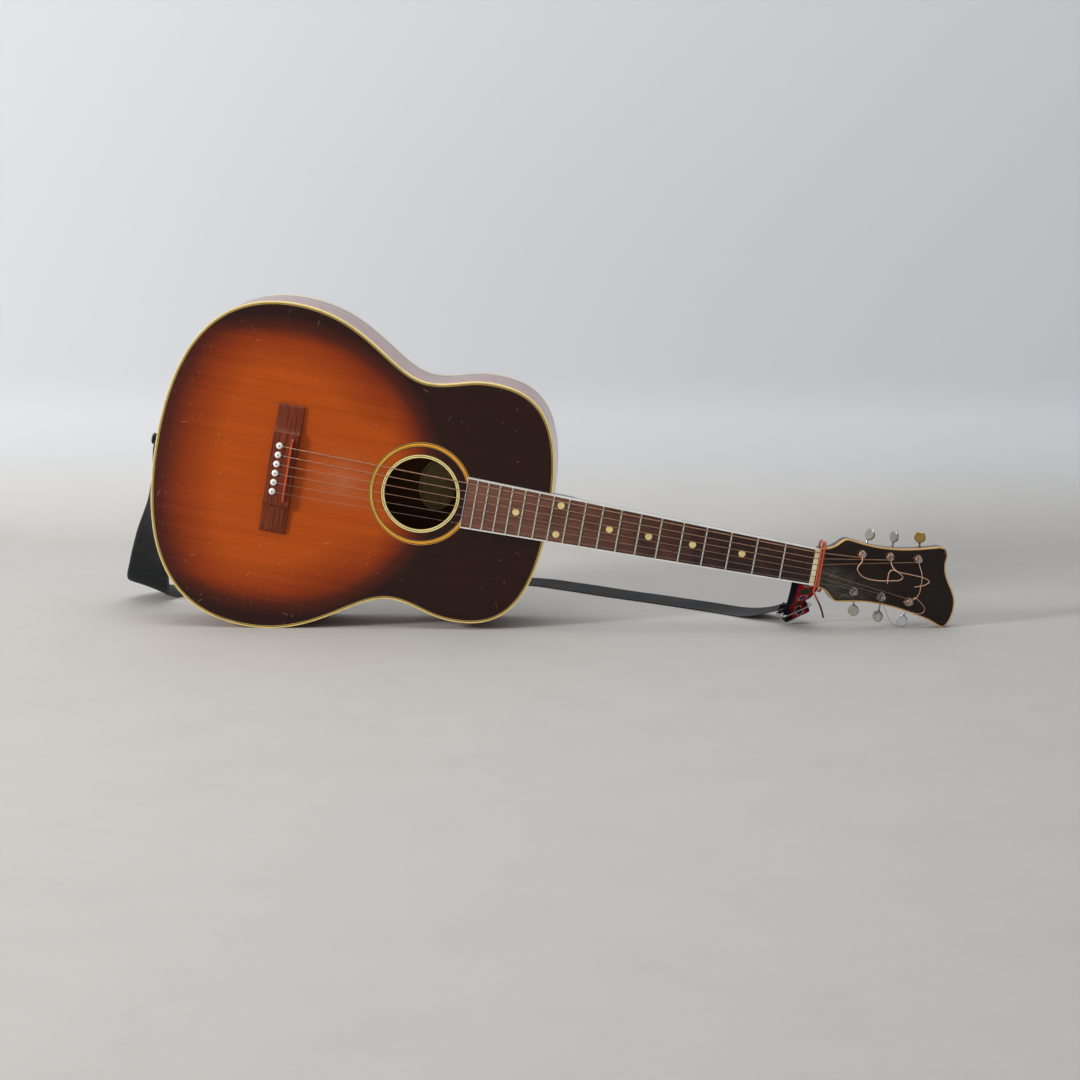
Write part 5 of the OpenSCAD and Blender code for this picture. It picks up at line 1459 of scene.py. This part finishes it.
class GUITAR_OT_tuners(MakerOperator, bpy.types.Operator):
    """Finishes the tuning machines"""
    bl_idname = "guitar.tuners"
    bl_label = "Tuners"

    def execute(self, context):
        metals = context.scene.metal_look
        dull = metal_look("dull machine metal", metals.nickel, 0.55)
        for node in ("tuner_plates", "plate_screws", "post_bushings"):
            paint(node, dull)
        for k in range(6):
            paint(f"tuner_post_{k + 1}", dull)
        for k, (colour, amount) in enumerate(((metals.nickel, 0.16), (metals.nickel, 0.3),
                                              (metals.brass, 0.42), (metals.bright, 0.03),
                                              (metals.nickel, 0.42), (metals.nickel, 0.4))):
            paint(f"tuner_knob_{k + 1}", metal_look(f"button metal {k + 1}", colour, amount))
        return {"FINISHED"}


def string_look(name, colour, wound, dirt):
    look = Look(name, Metallic=1.0, Roughness=0.36)
    run = look.value("run", "Vector")
    part = parts(look.tree, run)
    out = effect(look.tree, "Tarnish", {"Vector": look.place(), "Clean": colour, "Dull": dirt,
                                        "Amount": 0.4})
    look.join("Base Color", out["Color"])
    if wound:
        wave = calc(look.tree, "SINE", times(look.tree, part[0], 2 * math.pi / 0.00035))
        look.relief(plus(look.tree, times(look.tree, wave, 0.5), 0.5), 0.0001, 0.6)
    else:
        look.relief(out["Height"], 0.0001, 0.3)
    return look.material


class GUITAR_OT_strings(MakerOperator, bpy.types.Operator):
    """Makes the six strings, their coils on the posts and their loose ends"""
    bl_idname = "guitar.strings"
    bl_label = "Strings"

    def execute(self, context):
        metals = context.scene.metal_look
        wound = string_look("wound string", metals.dull_copper, True, srgb(96, 70, 60))
        fresh = string_look("unplayed winding", metals.copper, True, srgb(140, 96, 74))
        plain = string_look("plain string", metals.steel, False, srgb(92, 76, 58))
        for k in range(6):
            radius = STRING_D[k] / 2
            y = (2.5 - k) * PIN_PITCH
            nut_y = (2.5 - k) * NUT_PITCH
            string_x = PIN_X + 3.25
            lift = radius + 0.05
            tangent = string_tangent(k)
            end = head_to_guitar((tangent.x, tangent.y, COIL_LOW + radius))
            route = [(string_x, y, -6.6), (string_x, y, BRIDGE_H + 0.2), (string_x + 0.6, y, BRIDGE_H + 1.4),
                     (SADDLE_X, y, SADDLE_Z + lift), (1, nut_y, NUT_H + lift),
                     (NUT_T - 0.5, nut_y, NUT_H + lift), end]
            route = eased(route, 0.8)
            spread = [route[0]]
            for a, b in zip(route, route[1:]):
                pieces = max(1, int((b - a).length / 25))
                spread += [a.lerp(b, (i + 1) / pieces) for i in range(pieces)]
            shape = Shape()
            shape.tube(spread, radius, 10)
            centre = Vector((PIN_X + 2.5 + BALL_R + 0.05, y, -7.6))
            shape.loft([[shape.add(centre + BALL_R * Vector((
                math.sin(a) * math.cos(b), math.sin(a) * math.sin(b), math.cos(a))))
                         for b in (2 * math.pi * j / 12 for j in range(12))]
                        for a in (math.pi * i / 8 for i in range(1, 8))])
            metal = wound if k < 4 else plain
            slot = "wound_metal" if k < 4 else "plain_metal"
            shape.finish(f"string_run_{k + 1}", metal, slot, replaced=(f"string_{k + 1}",))

            side = row_side(k)
            place = Vector(POSTS[k])
            reach = POST_R + COIL_AIR + radius
            first = math.atan2(tangent.y - place.y, tangent.x - place.x)
            s = TAIL_SIDE[k]
            exit_at = hole_point(k, -s * reach, COIL_LOW + COIL_TURNS[k] * STRING_D[k] - radius)
            last = math.atan2(exit_at[1] - place.y, exit_at[0] - place.x)
            sweep = (last - first) * side % (2 * math.pi)
            turns = COIL_TURNS[k] - 1 + sweep / (2 * math.pi)
            steps = int(turns * 24)
            coil = []
            for i in range(steps + 1):
                t = i / steps
                a = first + side * 2 * math.pi * turns * t
                coil.append((place.x + reach * math.cos(a), place.y + reach * math.sin(a),
                             COIL_LOW + radius + t * (COIL_TURNS[k] - 1) * STRING_D[k]))
            hole_h = COIL_LOW + COIL_TURNS[k] * STRING_D[k] + 1.2
            tail = [hole_point(k, -s * reach, hole_h - 0.5), hole_point(k, -s * (POST_R - 0.6), hole_h),
                    *smooth_route([hole_point(k, s * (POST_R + 0.8), hole_h), *END_ROUTES[k]], 8)]
            shape = Shape()
            shape.tube([*coil, *tail], radius, 10)
            shape.finish(f"string_coil_{k + 1}", fresh if k < 4 else plain, slot, body=f"post_{k + 1}",
                         space=HEAD, replaced=(f"string_end_{k + 1}",))
        return {"FINISHED"}


def band(route, thickness, steps, columns, ripple=0.0, seed=1):
    """A strap along a route, of rows of corners across both its faces, and its flat length and width."""
    middle = smooth_route([r[0] for r in route], steps)
    across = smooth_route([Vector(r[1]).normalized() * r[2] for r in route], steps)
    shape = Shape()
    rings = []
    run = 0.0
    widths = []
    rough = random.Random(seed)
    phases = [rough.uniform(0, 6.28) for _ in range(4)]
    for i, point in enumerate(middle):
        ahead = (middle[min(i + 1, len(middle) - 1)] - middle[max(i - 1, 0)]).normalized()
        side = across[i] - ahead * across[i].dot(ahead)
        out = ahead.cross(side).normalized()
        if i:
            run += (point - middle[i - 1]).length
        widths.append(side.length)
        ring = []
        for face in (1, -1):
            for j in range(columns + 1):
                t = j / columns if face > 0 else 1 - j / columns
                edge = 1 - abs(2 * t - 1)
                thin = thickness / 2 * (0.55 + 0.45 * min(1, edge * columns / 2))
                wave = ripple * (2 * t - 1) ** 2 * math.sin(run / 23 + phases[0]) * math.sin(
                    run / 61 + phases[1])
                ring.append(shape.add(point + side * (t - 0.5) + out * (face * thin + wave),
                                      (run * MM, (t - 0.5) * side.length * MM), edge))
        rings.append(ring)
    shape.loft(rings)
    return shape, run, sum(widths) / len(widths)


class GUITAR_OT_strap(MakerOperator, bpy.types.Operator):
    """Makes the webbing strap and its slider"""
    bl_idname = "guitar.strap"
    bl_label = "Strap"

    def execute(self, context):
        colours = context.scene.strap_look
        share = colours.width / 0.05
        route = [(p, a, w * share if w >= 50 else w) for p, a, w in STRAP_ROUTE]
        shape, length, width = band(route, STRAP_T * 0.8, 8, 10, 0.12)
        look = Look("black webbing", Roughness=0.9, Specular_IOR_Level=0.15, Sheen_Weight=0.05,
                    Sheen_Roughness=0.5)
        tree = look.tree
        run = look.value("run", "Vector")
        out = effect(tree, "Weave", {"Vector": run, "Along": 420.0, "Across": 560.0})
        edge = calc(tree, "LESS_THAN", look.value("shade"), 0.1)
        grey = grey_of(tree, out["Shade"])
        base = blend(tree, 1.0, colours.webbing, grey, "MULTIPLY")
        faded = noise(tree, run, 18.0, 5, 0.7)
        base = blend(tree, times(tree, calc(tree, "GREATER_THAN", faded, 0.58), 0.12), base,
                     srgb(96, 92, 88))
        base = worn_to(tree, base, edge, 0.35, srgb(74, 70, 68))
        look.join("Base Color", look.settle_dust(base, look.place(), 0.04))
        look.relief(out["Height"], 0.0004, 0.7)
        piece = shape.finish("webbing_strap", look.material, "webbing", space=FLOOR_MARK,
                             replaced=("strap",))

        wire = Shape()
        rot = Matrix((SLIDER_ALONG, SLIDER_BACK, SLIDER_UP)).transposed()

        def at(x, y, z=0.0):
            return SLIDER_AT + rot @ Vector((x, y, z))

        half = SLIDER_L / 2
        loop = []
        reach = 3.0
        for cx, cy, a0 in ((half - reach, 2 * SLIDER_PITCH - reach, 0),
                           (-half + reach, 2 * SLIDER_PITCH - reach, 90), (-half + reach, reach, 180),
                           (half - reach, reach, 270)):
            for i in range(7):
                a = math.radians(a0 + 15 * i)
                loop.append(at(cx + reach * math.cos(a), cy + reach * math.sin(a)))
        loop.append(loop[0])
        wire.tube(loop, WIRE_R, 12)
        wire.tube([at(-half + 0.5, SLIDER_PITCH), at(0, SLIDER_PITCH), at(half - 0.5, SLIDER_PITCH)], WIRE_R,
                  12)
        wire.finish("strap_slider_wire", metal_look("slider metal", context.scene.metal_look.nickel, 0.4),
                    "slider_metal", space=FLOOR_MARK, replaced=("strap_slider",))
        return {"FINISHED"}


class GUITAR_OT_woven_band(MakerOperator, bpy.types.Operator):
    """Makes the patterned band between the slider and the neck"""
    bl_idname = "guitar.woven_band"
    bl_label = "Woven band"

    def execute(self, context):
        shape, length, width = band(WOVEN_ROUTE, WOVEN_T * 0.8, 8, 16, 0.15, 4)
        look = Look("woven pattern", Roughness=0.9, Specular_IOR_Level=0.1, Sheen_Weight=0.04)
        tree = look.tree
        run = look.value("run", "Vector")
        part = parts(tree, run)
        half = WOVEN_W * MM / 2
        base = context.scene.strap_look.woven
        cell = calc(tree, "PINGPONG", plus(tree, part[0], 0.004), 0.028)
        centred = minus(tree, part[1], 0.003)
        away = minus(tree, cell, 0.014)
        reach = calc(tree, "POWER", plus(tree, calc(tree, "POWER", away, 2.0),
                                         calc(tree, "POWER", centred, 2.0)), 0.5)
        turn = calc(tree, "ARCTAN2", centred, away)
        petals = calc(tree, "MULTIPLY_ADD", calc(tree, "SINE", times(tree, turn, 9.0)), 0.0012, 0.0062)
        leaf = minus(tree, calc(tree, "ABSOLUTE", away), times(tree, calc(tree, "ABSOLUTE", centred), 0.7))
        vine = calc(tree, "COMPARE", calc(tree, "ABSOLUTE", centred), 0.0108, 0.0013)
        colour = blend(tree, times(tree, vine, calc(tree, "GREATER_THAN", noise(tree, run, 260.0), 0.47)),
                       base, srgb(30, 32, 92))
        colour = blend(tree, calc(tree, "GREATER_THAN", leaf, 0.0078), colour, srgb(34, 74, 42))
        colour = blend(tree, calc(tree, "LESS_THAN", reach, petals), colour, srgb(188, 150, 122))
        colour = blend(tree, calc(tree, "LESS_THAN", reach, 0.0044), colour, srgb(34, 36, 104))
        colour = blend(tree, calc(tree, "LESS_THAN", reach, 0.0016), colour, srgb(150, 24, 34))
        edge = calc(tree, "MULTIPLY_ADD", noise(tree, run, 300.0), 0.001, 0.0075 - half)
        colour = blend(tree, calc(tree, "LESS_THAN", part[1], edge), colour, srgb(24, 22, 24))
        colour = blend(tree, calc(tree, "GREATER_THAN", part[1], half - 0.0015), colour, srgb(30, 24, 26))
        out = effect(tree, "Weave", {"Vector": run, "Along": 520.0, "Across": 640.0})
        grey = grey_of(tree, out["Shade"])
        look.join("Base Color", look.settle_dust(blend(tree, 1.0, colour, grey, "MULTIPLY"), look.place(),
                                                 0.03))
        look.relief(out["Height"], 0.0004, 0.8)
        piece = shape.finish("woven_band", look.material, "woven_band", space=FLOOR_MARK,
                             replaced=("woven_strap",))
        return {"FINISHED"}


MAKERS = (GUITAR_OT_stage, GUITAR_OT_cord, GUITAR_OT_top, GUITAR_OT_shell, GUITAR_OT_inside,
          GUITAR_OT_bridge, GUITAR_OT_neck, GUITAR_OT_head, GUITAR_OT_fretboard, GUITAR_OT_tuners,
          GUITAR_OT_strings, GUITAR_OT_strap, GUITAR_OT_woven_band)
LOOKS = {"top_look": TopLook, "wood_look": WoodLook, "trim_look": TrimLook, "metal_look": MetalLook,
         "strap_look": StrapLook, "stage_look": StageLook}


class GUITAR_PT_pieces(bpy.types.Panel):
    """Lists the sizes, the colours and the makers"""
    bl_idname = "GUITAR_PT_pieces"
    bl_label = "Guitar"
    bl_space_type = "VIEW_3D"
    bl_region_type = "UI"
    bl_category = "Guitar"

    def draw(self, context):
        for name, kind in LOOKS.items():
            box = self.layout.box()
            box.label(text=kind.__doc__)
            for key in kind.__annotations__:
                box.prop(getattr(context.scene, name), key)
        for maker in MAKERS:
            self.layout.operator(maker.bl_idname)


def register():
    for kind in (*LOOKS.values(), *MAKERS, GUITAR_PT_pieces):
        bpy.utils.register_class(kind)
    for name, kind in LOOKS.items():
        setattr(bpy.types.Scene, name, PointerProperty(type=kind))


def unregister():
    for name in LOOKS:
        delattr(bpy.types.Scene, name)
    for kind in (GUITAR_PT_pieces, *reversed(MAKERS), *reversed(LOOKS.values())):
        bpy.utils.unregister_class(kind)


def main():
    register()
    for maker in MAKERS:
        getattr(bpy.ops.guitar, maker.bl_idname.split(".")[1])()


if __name__ == "__main__":
    main()
